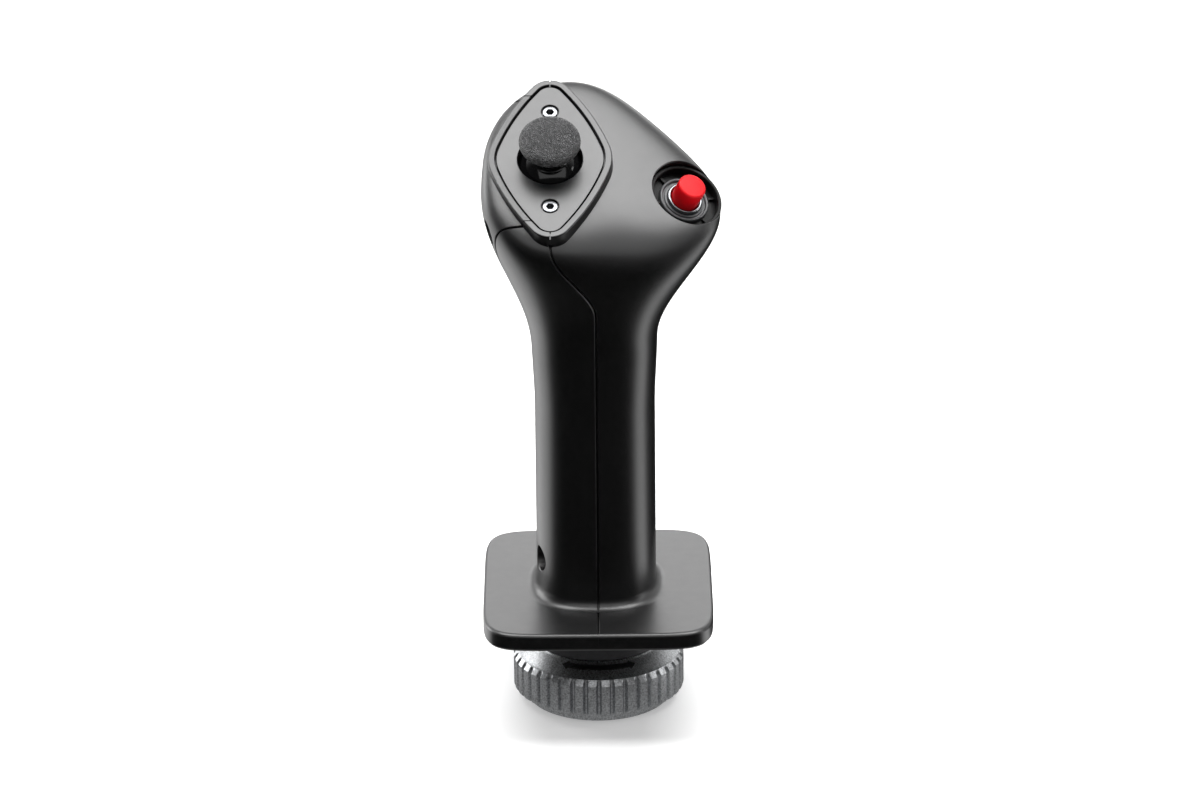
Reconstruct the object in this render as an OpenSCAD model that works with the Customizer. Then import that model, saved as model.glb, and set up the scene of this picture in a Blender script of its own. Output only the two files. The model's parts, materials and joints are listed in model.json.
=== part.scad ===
// Flight joystick grip on a threaded coupling ring. Millimetres, +Z up.
// The origin is on the coupling ring's axis, at the ring's lower edge.
// The pilot sits on the -Y side, and the trigger is on the +Y side.

/* [Column] */
// Width of the column across the palm
column_w = 33.6; // [28:0.1:38]
// Depth of the column from palm to fingers
column_d = 39; // [33:0.1:45]
// Height of the column, from the flange to the start of the head
column_h = 74; // [64:1:90]
// Shift of the column to the left of the ring's axis
column_shift = 0.4; // [0:0.1:1]
// Wall thickness of the moulded shells
wall = 2.5; // [2:0.1:3]
// Radius of the fillet at the column's foot
foot_r = 3; // [1:0.5:5]

/* [Head] */
// Height of the thumb plate's middle above the start of the head
head_h = 53; // [50:0.5:58]
// Reach of the head to the left of the axis
head_left = 31.6; // [29:0.1:34]
// Reach of the head to the right of the axis
head_right = 37.6; // [36:0.1:40]
// Reach of the head towards the pilot
head_front = 31; // [29:0.1:34]
// Reach of the head towards the fingers
head_back = 28; // [26:0.1:32]

/* [Thumb plate] */
// Place of the thumb plate's middle to the side
plate_x = -12; // [-13:0.1:-11]
// Place of the thumb plate's middle in depth
plate_y = -3; // [-5:0.1:0]
// Tilt of the thumb plate towards the pilot
plate_tilt = 31; // [28:0.5:34]
// Width of the diamond-shaped plate
plate_w = 29.1; // [28:0.1:32]
// Length of the diamond-shaped plate
plate_l = 50.8; // [48:0.1:54]
// Thickness of the plate
plate_t = 2.4; // [2:0.1:3]
// Width of the raised rim around the plate
rim_t = 1.9; // [1.5:0.1:2.5]
// Gap between the plate and the rim
rim_gap = 0.35; // [0.2:0.05:0.5]
// Distance between the plate's two screws
plate_screw_span = 33.2; // [30:0.2:36]
// Diameter of the hole for the thumbstick
stick_hole_d = 17.7; // [17:0.1:19]

/* [Thumbstick] */
// Diameter of the thumbstick's rubber cap
cap_d = 16.4; // [15:0.1:17]
// Thickness of the cap
cap_t = 5; // [4:0.1:6]
// Height of the cap's top above the rim
cap_rise = 9.2; // [9:0.1:11]
// Depth of the gimbal's centre below the rim
pivot_depth = 10; // [9.8:0.1:10.4]
// Outer radius of the dome under the cap
dome_r = 10.8; // [10.4:0.1:11]
// Side of the square gimbal housing
gimbal_w = 13.2; // [13:0.1:13.6]
// Radius of the gimbal's trunnions
trunnion_r = 1; // [0.8:0.05:1.2]

/* [Push button] */
// Place of the button's pocket to the side
pocket_x = 25.8; // [25:0.1:26.5]
// Place of the button's pocket in depth
pocket_y = -2.2; // [-4:0.1:0]
// Drop of the pocket's mouth below the thumb plate's middle
pocket_drop = 10.5; // [9:0.1:12]
// Lean of the button away from upright
button_lean = 38; // [34:1:42]
// Turn of the button's lean, counted from the right
button_turn = -57.5; // [-62:0.5:-52]
// Diameter of the pocket around the button
pocket_d = 20.8; // [19.6:0.1:21.4]
// Depth of the pocket to its floor
pocket_depth = 5; // [4.5:0.1:6]
// Diameter of the red button cap
button_d = 7.8; // [7:0.1:8.6]
// Height of the button cap above the pocket's mouth
button_rise = 3; // [2.4:0.1:4]
// Travel of the button
button_travel = 1.6; // [1:0.1:2]

/* [Trigger] */
// Width of the trigger
trigger_w = 10; // [9:0.1:11]
// Place of the trigger's pin in depth
trigger_pin_y = 17.5; // [17:0.1:18]
// Drop of the trigger's pin below the thumb plate's middle
trigger_pin_drop = 17; // [16:0.1:18]
// Diameter of the trigger's pin
trigger_pin_d = 3; // [2.5:0.1:3.2]
// Reach of the trigger's tip below its pin
trigger_l = 25; // [23:0.5:27]

/* [Flange and coupling] */
// Width of the flange under the hand
flange_w = 64; // [58:0.5:76]
// Depth of the flange
flange_d = 74; // [66:0.5:88]
// Thickness of the flange at its middle
flange_t = 6.7; // [6.4:0.1:8]
// Height of the flange's top face above the ring's lower edge
flange_z = 34; // [33:0.5:38]
// Diameter of the coupling ring over its knurl
ring_d = 48; // [46:0.5:56]
// Number of flutes around the ring
ring_flutes = 40; // [32:1:44]
// Inner diameter of the M36 thread's crests
thread_d = 34; // [33.6:0.1:34.4]
// Length of the ring's threaded bore
thread_l = 9; // [8:0.5:9]
// Diameter of the neck between the ring and the flange
neck_d = 35.2; // [34.6:0.1:36]
// Diameter of the plug that the ring locks onto its socket
connector_d = 11.8; // [10:0.1:13]

/* [Fits] */
// Radial clearance of a pin that turns in its bore
run = 0.05; // [0.03:0.01:0.08]
// Clearance between parts that seat in each other
seat = 0.1; // [0.05:0.01:0.2]

/* [Hidden] */

tiny = 0.01;
far = 100;

// Heights of the column and the head
neck_z = flange_z + column_h;
plate_z = neck_z + head_h;
swell = 0.9;
swell_z = neck_z - 20;
crown_k = 4;
shoulder_k = 7;
back_k = 5;

// Planes that cut the head: under the thumb plate, on the right shoulder and behind it
plate_normal = [0, -sin(plate_tilt), cos(plate_tilt)];
button_normal = [
    sin(button_lean) * cos(button_turn),
    sin(button_lean) * sin(button_turn),
    cos(button_lean)
];
back_normal = [0.669, 0.275, 0.691];
plate_point = [plate_x, plate_y, plate_z + 0.6];
shoulder_point = [25, plate_y - 1, plate_z - 9];
back_point = [33, plate_y + 6, plate_z - 4.8];

// Rings and rays of the smooth skin
column_rings = 9;
head_rings = 24;
rays = 48;
halvings = 20;
skin_reach = 70;

// Panel on the head's left side, in the thumb plate's frame
panel_half = 22;
panel_inner = -5;
panel_depth = 31;

// Screws that join the shells: [y, z, seat of the head in x, boss radius]
screw_head_r = 2.75;
screw_head_t = 2.6;
screw_r = 1.45;
recess_r = 3.5;
recess_wall = 1.5;
column_seat_x = -11;
panel_seat_x = -24;
column_screws = [
    [-9, flange_z + 11],
    [7, neck_z - 4]
];
panel_screw = [-12, plate_z - 18];
column_screw_tip = 8;
panel_screw_tip = -15.5;

// Thumb plate and its screws
plate_top = -0.4;
plate_bottom = plate_top - plate_t;
plate_tip_r = 3.7;
plate_corner_r = 11.8;
plate_side_r = 67.8;
floor_t = 1.2;
floor_margin = 1.5;
small_head_r = 2;
small_head_t = 1.2;
small_screw_r = 1.2;
plate_screw_l = 6;
stick_screw_l = 5;
post_r = 3.3;
stick_screw_y = plate_screw_span / 2 - 1.8;
post_bottom = -pivot_depth - 6;
board_t = 1.2;
stick_opening = 19;

// Gimbal
gimbal_wall = 1.2;
gimbal_top = 2;
gimbal_floor = -6;
gimbal_base = 0.8;
cradle_x = 4.9;
cradle_y = 3.8;
cradle_z = 2;
cradle_wall = 1.1;
barrel_r = 2;
yoke_y = 4.4;
yoke_t = 0.8;
yoke_half = 1.6;
yoke_strap = 3.7;
strap_t = 0.6;
stem_r = 1.8;
stem_tip_r = 0.8;
stem_tip = 4.8;
dome_wall = 0.9;
dome_neck_r = 4.3;
dome_edge = 66;

// Push button, along its own axis with the pocket's mouth at 0
sleeve_t = 1.6;
cup_wall = 1;
cup_floor = 1.2;
pocket_ledge = 2.2;
bushing_r = 5;
bushing_top = -2.9;
bushing_end = -12;
nut_t = 2.2;
button_foot = -4.6;
plunger_r = 1.4;
switch_w = 6.4;
switch_t = 4;
terminal_l = 2.2;
terminal_x = 2;

// Trigger
trigger_pin_z = plate_z - trigger_pin_drop;
trigger_pin_r = trigger_pin_d / 2;
slot_gap = 0.5;
ear_t = 2;
ear_gap = 0.3;
bracket_y = 8;
bracket_t = 2;
trigger_switch_z = trigger_pin_z - 12;
ear_x = trigger_w / 2 + ear_gap;
bracket_screw_y = bracket_y + 3.9;
bracket_screw_z = [trigger_pin_z - 13.2, trigger_pin_z - 21.4];

// Control board in the column
board_x = 5;
board_w = 26;
board_l = 48;
board_z = flange_z + 40;
board_screw_y = 9;
board_screw_z = [board_z - board_l * 0.42, board_z + board_l * 0.42];

// Coupling
lip_h = 3;
knurl_h = 9.2;
chamfer_h = 1.6;
ring_top = 17.2;
shelf_z = 12.6;
shelf_r = thread_d / 2 + 1.8;
throat_r = thread_d / 2 - 0.25;
core_low_r = throat_r - 0.15;
clamp_r = 22;
clamp_t = 2.4;
clamp_z = flange_z - 4.8;
core_bore_r = 10;
core_floor = 3;
retainer_circle = 13;
retainer_t = 1.4;
pin_circle = 2.6;
pin_r = 0.5;
pin_l = 16.2;

// ---------- helpers ----------

// Smooth step from 0 at a to 1 at b
function rise(z, a, b) = let (t = min(1, max(0, (z - a) / (b - a)))) t * t * (3 - 2 * t);

// Larger of two values, blended over a width of k
function blend_max(a, b, k) = (a + b + sqrt((a - b) * (a - b) + k * k)) / 2;

// Point of a superellipse with half sizes a and b at an angle
function oval(a, b, power, angle) = [
    a * sign(cos(angle)) * pow(abs(cos(angle)), 2 / power),
    b * sign(sin(angle)) * pow(abs(sin(angle)), 2 / power)
];

// Points start half a step from the axes, so that no seam runs through one
function oval_points(a, b, power, count) = [
    for (i = [0 : count - 1]) oval(a, b, power, 360 * (i + 0.5) / count)
];

// Closed solid through stacked rings of points, from the lowest to the highest
module loft(rings) {
    n = len(rings[0]);
    last = (len(rings) - 1) * n;
    sides = [
        for (r = [0 : len(rings) - 2], i = [0 : n - 1])
            let (a = r * n + i, b = r * n + (i + 1) % n)
            each [[a, a + n, b], [b, a + n, b + n]]
    ];
    bottom = [for (i = [0 : n - 1]) i];
    top = [for (i = [n - 1 : -1 : 0]) last + i];
    polyhedron([for (ring = rings) each ring], concat([bottom, top], sides), convexity = 8);
}

module plate_frame() {
    translate([plate_x, plate_y, plate_z]) rotate([plate_tilt, 0, 0]) children();
}

module pivot_frame() {
    plate_frame() translate([0, 0, -pivot_depth]) children();
}

module button_frame() {
    translate([pocket_x, pocket_y, plate_z - pocket_drop])
        rotate([0, button_lean, button_turn]) children();
}

// Cylinder along X from x0 to x1 at a place in Y and Z
module rod_x(x0, x1, y, z, r, fn = 32) {
    translate([x0, y, z]) rotate([0, 90, 0]) cylinder(h = x1 - x0, r = r, $fn = fn);
}

module rod_y(y0, y1, x, z, r, fn = 32) {
    translate([x, y0, z]) rotate([-90, 0, 0]) cylinder(h = y1 - y0, r = r, $fn = fn);
}

// Box from one corner to the other
module block(a, b) {
    translate(a) cube(b - a);
}

// Cap screw along -Z: head above z = 0, shank below
module cap_screw(head_r, head_t, shank_r, length) {
    difference() {
        union() {
            cylinder(h = head_t, r = head_r, $fn = 32);
            translate([0, 0, -length]) cylinder(h = length + tiny, r = shank_r, $fn = 24);
        }
        translate([0, 0, head_t * 0.4]) cylinder(h = head_t, r = head_r * 0.55, $fn = 6);
    }
}

// ---------- the smooth skin ----------

function left_reach(z) =
    column_w / 2 + column_shift + swell * rise(z, swell_z, neck_z + 4)
    + (head_left - column_w / 2 - column_shift - swell) * rise(z, neck_z - 2, plate_z - 9)
    - 7 * rise(z, plate_z - 3, plate_z + 29);

function right_reach(z) =
    column_w / 2 - column_shift + swell * rise(z, swell_z, neck_z + 4)
    + (head_right - column_w / 2 + column_shift - swell) * rise(z, neck_z + 1, plate_z - 11);

function front_reach(z) =
    column_d / 2 + (head_front - column_d / 2) * rise(z, neck_z, plate_z - 1);

function back_reach(z) =
    column_d / 2 + (head_back - column_d / 2) * rise(z, neck_z + 4, plate_z + 11);

// Rounding of the column's foot into the flange
function foot(z) =
    let (t = min(1, max(0, 1 - (z - flange_z) / foot_r))) foot_r * (1 - sqrt(1 - t * t));

// Negative inside the grip, about the distance from its skin
function skin(p) =
    let (
        z = p[2],
        l = left_reach(z), r = right_reach(z), f = front_reach(z), b = back_reach(z),
        side = 0.5 + 0.5 * tanh((p[0] - (r - l) / 2) / 8),
        power = 2.5 + rise(z, neck_z + 2, plate_z - 16) * (0.2 - 0.5 * side),
        dx = abs(p[0] - (r - l) / 2), dy = abs(p[1] - (b - f) / 2),
        e = pow(pow(2 * dx / (r + l), power) + pow(2 * dy / (f + b), power), 1 / power),
        body = e < 0.01 ? -skin_reach : norm([dx, dy]) * (1 - 1 / e) - foot(z),
        roof = blend_max((p - plate_point) * plate_normal,
                         (p - shoulder_point) * button_normal, shoulder_k)
    )
    blend_max(blend_max(body, (p - back_point) * back_normal, back_k), roof, crown_k);

function tanh(x) = let (e = exp(2 * x)) (e - 1) / (e + 1);

// Distance along a ray at which the skin, pulled in by an inset, is met
function reach(start, way, inset, lo, hi, left) =
    left == 0 ? lo :
    let (mid = (lo + hi) / 2)
    skin(start + mid * way) + inset < 0
        ? reach(start, way, inset, mid, hi, left - 1)
        : reach(start, way, inset, lo, mid, left - 1);

function skin_ring(height, drift, lift, inset) = [
    for (i = [0 : rays - 1])
        let (
            a = 360 * (i + 0.5) / rays,
            start = [drift, 0, height],
            way = [cos(lift) * cos(a), cos(lift) * sin(a), sin(lift)]
        )
        start + way * reach(start, way, inset, 0, skin_reach, halvings)
];

// Solid grip, pulled in by an inset, from a flat bottom at height z0
module grip_solid(inset, z0) {
    foot_steps = [0, 0.12, 0.4, 1];
    column = [
        for (t = foot_steps) skin_ring(max(z0, flange_z) + foot_r * t, 0, 0, inset),
        for (i = [1 : column_rings])
            skin_ring(flange_z + foot_r + (column_h - foot_r) * i / column_rings, 0, 0, inset)
    ];
    head = [
        for (i = [1 : head_rings])
            let (s = i / head_rings)
            skin_ring(neck_z + 34 * s, -2 * s, 88 * pow(s, 1.6), inset)
    ];
    base = z0 < flange_z ? [[for (p = column[0]) [p[0], p[1], z0]]] : [];
    loft(concat(base, column, head));
}

// Quarter of the thumb plate's outline, grown by a margin. A small arc at the corner runs
// into a large one along the side, and that one into a small arc at the tip.
function quarter_outline(margin) =
    let (
        corner = [plate_w / 2 - plate_corner_r, 0],
        tip = [0, plate_l / 2 - plate_tip_r],
        to_corner = plate_side_r - plate_corner_r,
        to_tip = plate_side_r - plate_tip_r,
        reach = norm(tip - corner),
        u = (tip - corner) / reach,
        along = (to_corner * to_corner - to_tip * to_tip + reach * reach) / (2 * reach),
        across = sqrt(to_corner * to_corner - along * along),
        side = corner + along * u + across * [-u[1], u[0]],
        first = atan2(corner[1] - side[1], corner[0] - side[0]),
        second = atan2(tip[1] - side[1], tip[0] - side[0])
    )
    concat(
        [for (i = [0.5 : 1 : 2.5])
            corner + (plate_corner_r + margin) * ray(first * i / 3)],
        [for (i = [0 : 6])
            side + (plate_side_r + margin) * ray(first + (second - first) * i / 6)],
        [for (i = [0.5 : 1 : 4.5])
            tip + (plate_tip_r + margin) * ray(second + (90 - second) * i / 5)]
    );

function ray(angle) = [cos(angle), sin(angle)];

// The quarter and its three mirror images, anticlockwise
function diamond_points(margin) =
    let (q = quarter_outline(margin), n = len(q) - 1)
    concat(
        q, [for (i = [n : -1 : 0]) [-q[i][0], q[i][1]]],
        [for (p = q) -p], [for (i = [n : -1 : 0]) [q[i][0], -q[i][1]]]
    );

// Diamond with round tips, grown by a margin
module diamond(margin, z0, z1) {
    translate([0, 0, z0]) linear_extrude(z1 - z0) polygon(diamond_points(margin));
}

rim_out = rim_gap + rim_t;

module pedestal() {
    levels = [[-14, -4], [-4, 0.2], [-0.6, 0], [0, -0.5]];
    plate_frame() loft([
        for (level = levels) [
            for (p = diamond_points(rim_out + level[1])) [p[0], p[1], level[0]]
        ]
    ]);
}

// Plate under the hand, with a bevelled top edge and a domed underside
module flange_plate() {
    corner_power = 7;
    low = flange_z - flange_t;
    levels = [
        [low, 0.55], [low + 0.5, 0.75], [low + 1.8, 1],
        [flange_z - 0.9, 1], [flange_z, 0.976]
    ];
    loft([
        for (level = levels) [
            for (p = oval_points(flange_w / 2, flange_d / 2, corner_power, 72))
                [p[0] * level[1], p[1] * level[1], level[0]]
        ]
    ]);
}

// Line between the two shells: straight up the column, then over to the plate's middle
function seam_x(z) = plate_x * rise(z, neck_z + 13, plate_z - 18);

module half_space(side, gap) {
    steps = 24;
    top = plate_z + 40;
    line = [
        for (i = [0 : steps])
            let (z = neck_z + 10 + (head_h - 24) * i / steps)
            [seam_x(z) + side * gap, z]
    ];
    outer = side * far;
    translate([0, far, 0]) rotate([90, 0, 0]) linear_extrude(2 * far)
        polygon(concat(
            [[outer, 0], [side * gap, 0]], line, [[plate_x + side * gap, top], [outer, top]]
        ));
}

// Space taken by the left side panel
module panel_space(margin) {
    corner = 8;
    plate_frame() translate([panel_inner + margin, 0, 0]) rotate([0, -90, 0])
        linear_extrude(far) hull() {
            for (y = [-1, 1])
                translate([corner - panel_depth, y * (panel_half - corner)])
                    circle(r = corner + margin, $fn = 32);
            block2([-5, -panel_half - margin], [4, panel_half + margin]);
        }
}

module block2(a, b) {
    translate(a) square(b - a);
}

// What stands into the hollow: bosses around the column's screws, the floor under the
// thumb plate and the sleeve around the button's pocket
module inner_bosses() {
    plate_frame() diamond(rim_gap + floor_margin, plate_bottom - floor_t, 5);
    for (s = column_screws) {
        rod_x(-30, column_seat_x + 2, s[0], s[1], recess_r + recess_wall);
        rod_x(-30, 30, s[0], s[1], recess_r);
    }
    button_frame() translate([0, 0, -pocket_depth - cup_floor - sleeve_t])
        cylinder(h = 20, r = pocket_d / 2 + sleeve_t, $fn = 40);
}

// Hollow grip with its pockets, before it is split
module whole_skin() {
    difference() {
        union() {
            grip_solid(0, flange_z - 3);
            pedestal();
            flange_plate();
            intersection() {
                grip_solid(0, flange_z - 3);
                inner_bosses();
            }
        }
        difference() {
            grip_solid(wall, flange_z + wall + 1);
            inner_bosses();
        }
        plate_frame() diamond(rim_gap, plate_bottom, 20);
        plate_frame() block([-1, -1, 0] * stick_opening / 2 + [0, 0, -9],
                            [1, 1, 0] * stick_opening / 2);
        button_frame() {
            translate([0, 0, -pocket_depth - cup_floor])
                cylinder(h = 30, r = pocket_d / 2, $fn = 48);
            translate([0, 0, -pocket_depth - 8])
                cylinder(h = 30, r = pocket_d / 2 - pocket_ledge, $fn = 40);
        }
        trigger_slot();
        coupling_space();
        for (s = column_screws) {
            rod_x(-30, column_seat_x, s[0], s[1], recess_r);
            rod_x(-30, column_screw_tip + 1, s[0], s[1], screw_r + seat);
        }
    }
}

module trigger_slot() {
    half = trigger_w / 2 + slot_gap;
    block([-half, trigger_pin_y - 4, trigger_pin_z - trigger_l - 2.5],
          [half, far, trigger_pin_z + 1.2]);
}

// Room in the flange for the coupling's core, and the way up for the cable
module coupling_space() {
    cylinder(h = flange_z - 2, r = neck_d / 2 + seat, $fn = 64);
    translate([0, 0, clamp_z - seat]) clamp_disc(clamp_r + seat, clamp_t + 2 * seat);
    translate([0, 0, clamp_z]) cylinder(h = 20, r = core_bore_r + 1, $fn = 48);
}

module clamp_disc(r, t) {
    intersection() {
        cylinder(h = t, r = r, $fn = 64);
        translate([-far / 2, -r + 2, 0]) cube([far, 2 * r - 4, t]);
    }
}

// Posts for the thumb plate's screws and for the panel's screw
module plate_posts(margin) {
    for (y = [-1, 1])
        plate_frame() hull() for (at = [plate_screw_span / 2, stick_screw_y])
            translate([0, y * at, post_bottom])
                cylinder(h = plate_bottom - post_bottom + margin, r = post_r + margin, $fn = 32);
    rod_x(panel_seat_x + 2.2, plate_x, panel_screw[0], panel_screw[1], post_r + margin);
}

module shell_half(side) {
    intersection() {
        whole_skin();
        half_space(side, seat / 2);
    }
}

module left_shell() {
    color("#2a2b2d") resize([0, 0, 0]) difference() {
        shell_half(-1);
        panel_space(seat);
        plate_posts(2 * seat);
    }
}

module right_shell() {
    color("#2a2b2d") resize([0, 0, 0]) difference() {
        union() {
            shell_half(1);
            intersection() {
                grip_solid(wall / 2, flange_z);
                union() {
                    plate_posts(0);
                    for (z = board_screw_z) rod_x(board_x + board_t, 30, board_screw_y, z, 2.4);
                    for (z = bracket_screw_z) rod_x(ear_x + ear_t, 40, bracket_screw_y, z, 2.6);
                }
            }
        }
        plate_frame() for (y = [-1, 1]) {
            translate([0, y * plate_screw_span / 2, plate_bottom - plate_screw_l])
                cylinder(h = plate_screw_l + 1, r = small_screw_r + run, $fn = 24);
            translate([0, y * stick_screw_y, post_bottom - 1])
                cylinder(h = stick_screw_l + 1, r = small_screw_r + run, $fn = 24);
        }
        rod_x(-30, panel_screw_tip + 0.5, panel_screw[0], panel_screw[1], screw_r + run);
        for (z = board_screw_z) rod_x(0, board_x + 7, board_screw_y, z, small_screw_r + run);
        for (z = bracket_screw_z) rod_x(0, ear_x + 8, bracket_screw_y, z, small_screw_r + run);
    }
}

module side_panel() {
    color("#303133") resize([0, 0, 0]) difference() {
        union() {
            intersection() {
                shell_half(-1);
                panel_space(-seat);
            }
            intersection() {
                rod_x(-32, panel_seat_x + 2, panel_screw[0], panel_screw[1],
                      recess_r + recess_wall);
                grip_solid(0, flange_z);
                panel_space(-seat);
            }
        }
        rod_x(-40, panel_seat_x, panel_screw[0], panel_screw[1], recess_r);
        rod_x(-40, 0, panel_screw[0], panel_screw[1], screw_r + seat);
        plate_posts(2 * seat);
    }
}

module shell_screws() {
    color("#3c3e42") {
        for (s = column_screws)
            translate([column_seat_x, s[0], s[1]]) rotate([0, -90, 0])
                cap_screw(screw_head_r, screw_head_t, screw_r, column_screw_tip - column_seat_x);
        translate([panel_seat_x, panel_screw[0], panel_screw[1]]) rotate([0, -90, 0])
            cap_screw(screw_head_r, screw_head_t, screw_r, panel_screw_tip - panel_seat_x);
    }
}

// ---------- thumb plate and thumbstick ----------

module thumb_plate() {
    color("#2e2f31") plate_frame() difference() {
        diamond(0, plate_bottom, plate_top);
        translate([0, 0, -20]) cylinder(h = 40, r = stick_hole_d / 2, $fn = 64);
        for (y = [-1, 1]) translate([0, y * plate_screw_span / 2, 0]) {
            translate([0, 0, -10]) cylinder(h = 20, r = small_screw_r + seat, $fn = 24);
            translate([0, 0, plate_top - small_head_t])
                cylinder(h = 5, r = small_head_r + 0.4, $fn = 32);
        }
    }
}

module thumb_plate_screws() {
    color("#9a9ca0") plate_frame()
        for (y = [-1, 1])
            translate([0, y * plate_screw_span / 2, plate_top - small_head_t])
                cap_screw(small_head_r, small_head_t - 0.1, small_screw_r, plate_screw_l);
}

module thumbstick_cap() {
    r = cap_d / 2;
    top = cap_rise + pivot_depth;
    low = top - cap_t;
    color("#1c1c1e") pivot_frame() difference() {
        rotate_extrude($fn = 72) polygon(concat(
            [[0, low], [r - 1.2, low], [r - 0.3, low + 0.5]],
            [for (a = [0 : 15 : 90]) [r - 1.2 + 1.2 * cos(a), top - 1.6 + 1.2 * sin(a)]],
            [[0, top]]
        ));
        translate([0, 0, low - 1]) cylinder(h = cap_t * 0.55 + 1, r = stem_r + 0.9, $fn = 32);
    }
}

module thumbstick_dome() {
    inner = dome_r - dome_wall;
    neck_a = asin(dome_neck_r / dome_r);
    neck_top = cap_rise + pivot_depth - cap_t - tiny;
    color("#101012") pivot_frame() rotate_extrude($fn = 72) polygon(concat(
        [for (i = [0 : 12])
            let (a = neck_a + (dome_edge - neck_a) * i / 12) dome_r * [sin(a), cos(a)]],
        [for (i = [12 : -1 : 0])
            let (a = neck_a + (dome_edge - neck_a) * i / 12) inner * [sin(a), cos(a)]],
        [[stem_r, inner * cos(neck_a)], [stem_r, neck_top], [dome_neck_r, neck_top]]
    ));
}

module thumbstick_stem() {
    top = cap_rise + pivot_depth - cap_t;
    color("#3a3b3e") pivot_frame() {
        translate([0, 0, barrel_r]) cylinder(h = top - barrel_r, r = stem_r, $fn = 32);
        translate([0, 0, top - tiny]) cylinder(h = cap_t * 0.55, r = stem_r + 0.9, $fn = 32);
        translate([0, 0, -stem_tip])
            cylinder(h = stem_tip + barrel_r + tiny, r = stem_tip_r, $fn = 24);
    }
}

module gimbal_housing() {
    half = gimbal_w / 2;
    inner = half - gimbal_wall;
    color("#8d9094") pivot_frame() difference() {
        block([-half, -half, gimbal_floor], [half, half, gimbal_top]);
        block([-inner, -inner, gimbal_floor + gimbal_base], [inner, inner, 10]);
        rod_x(-10, 10, 0, 0, trunnion_r + run);
        rod_y(-10, 10, 0, 0, trunnion_r + run);
        for (a = [0 : 90 : 270]) rotate([0, 0, 45 + a])
            translate([half * 1.414 - 0.9, -5, gimbal_floor - 1]) cube([5, 10, 20]);
    }
}

module gimbal_cradle() {
    inner_x = cradle_x - cradle_wall;
    inner_y = cradle_y - cradle_wall;
    color("#c9cbce") pivot_frame() difference() {
        union() {
            block([-cradle_x, -cradle_y, -cradle_z], [cradle_x, cradle_y, cradle_z]);
            rod_x(-gimbal_w / 2 - 0.6, gimbal_w / 2 + 0.6, 0, 0, trunnion_r);
        }
        block([-inner_x, -inner_y, -10], [inner_x, inner_y, 10]);
        rod_y(-10, 10, 0, 0, trunnion_r * 0.8 + run);
    }
}

module gimbal_pivot() {
    inner_y = cradle_y - cradle_wall - 0.15;
    color("#e0dccf") pivot_frame() difference() {
        union() {
            rod_y(-inner_y, inner_y, 0, 0, barrel_r);
            rod_y(-cradle_y, cradle_y, 0, 0, trunnion_r * 0.8);
        }
        translate([0, 0, -5]) cylinder(h = 10, r = stem_tip_r, $fn = 24);
    }
}

module gimbal_yoke() {
    outer = yoke_y + yoke_t;
    slot = stem_tip_r + 0.15;
    foot = yoke_strap + strap_t;
    color("#b4b7bb") pivot_frame() difference() {
        union() {
            block([-yoke_half, -outer, -foot], [yoke_half, outer, -yoke_strap]);
            for (y = [-1, 1]) scale([1, y, 1]) {
                block([-yoke_half, yoke_y, -foot], [yoke_half, outer, 0]);
                rod_y(yoke_y, outer, 0, 0, yoke_half);
                rod_y(yoke_y + tiny, gimbal_w / 2 + 0.6, 0, 0, trunnion_r);
            }
        }
        block([-slot, -3, -foot - 1], [slot, 3, -yoke_strap + 0.2]);
    }
}

module tilt_sensor(w, t) {
    difference() {
        translate([-w / 2, -w / 2, 0]) cube([w, w, t]);
        translate([0, 0, -1]) cylinder(h = 1.9, r = trunnion_r + 0.25, $fn = 24);
    }
}

module tilt_sensor_x() {
    color("#23496b") pivot_frame() translate([gimbal_w / 2, 0, 0]) rotate([0, 90, 0])
        tilt_sensor(5, 1.8);
}

module tilt_sensor_y() {
    color("#23496b") pivot_frame() translate([0, gimbal_w / 2, 0]) rotate([-90, 0, 0])
        tilt_sensor(5, 1.8);
}

module centring_spring() {
    wire = 0.12;
    coil = 3.3;
    color("#b9bcc0") pivot_frame()
        for (i = [0 : 1])
            translate([0, 0, gimbal_floor + gimbal_base + wire + 2 * wire * i])
                rotate_extrude($fn = 48) translate([coil, 0]) circle(r = wire, $fn = 16);
}

module stick_board() {
    half_w = 8.2;
    end_w = 3.6;
    shoulder = 9;
    half_l = stick_screw_y + 2.2;
    color("#1d4a2c") plate_frame() difference() {
        translate([0, 0, post_bottom - board_t]) linear_extrude(board_t) polygon([
            [end_w, -half_l], [half_w, -shoulder], [half_w, shoulder], [end_w, half_l],
            [-end_w, half_l], [-half_w, shoulder], [-half_w, -shoulder], [-end_w, -half_l]
        ]);
        for (y = [-1, 1]) translate([0, y * stick_screw_y, -30])
            cylinder(h = 30, r = small_screw_r + seat, $fn = 24);
    }
}

module stick_board_screws() {
    color("#9a9ca0") plate_frame() for (y = [-1, 1])
        translate([0, y * stick_screw_y, post_bottom - board_t]) rotate([180, 0, 0])
            cap_screw(small_head_r, small_head_t, small_screw_r, stick_screw_l);
}

// ---------- push button ----------

module button_cup() {
    r = pocket_d / 2 - seat;
    floor_z = -pocket_depth;
    color("#0c0c0d") button_frame() difference() {
        translate([0, 0, floor_z - cup_floor])
            cylinder(h = pocket_depth + cup_floor - pocket_ledge, r = r, $fn = 64);
        translate([0, 0, floor_z]) cylinder(h = 20, r = r - cup_wall, $fn = 64);
        translate([0, 0, floor_z - 5]) cylinder(h = 20, r = bushing_r + seat, $fn = 48);
    }
}

module button_collar() {
    low = -pocket_depth;
    color("#55585c") button_frame() rotate_extrude($fn = 64) polygon([
        [bushing_r + seat, low], [7.05, low], [7.05, low + 1], [6.75, low + 1.3],
        [6.2, low + 1.3], [5.9, low + 0.9], [bushing_r + seat, low + 0.9]
    ]);
}

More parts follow.
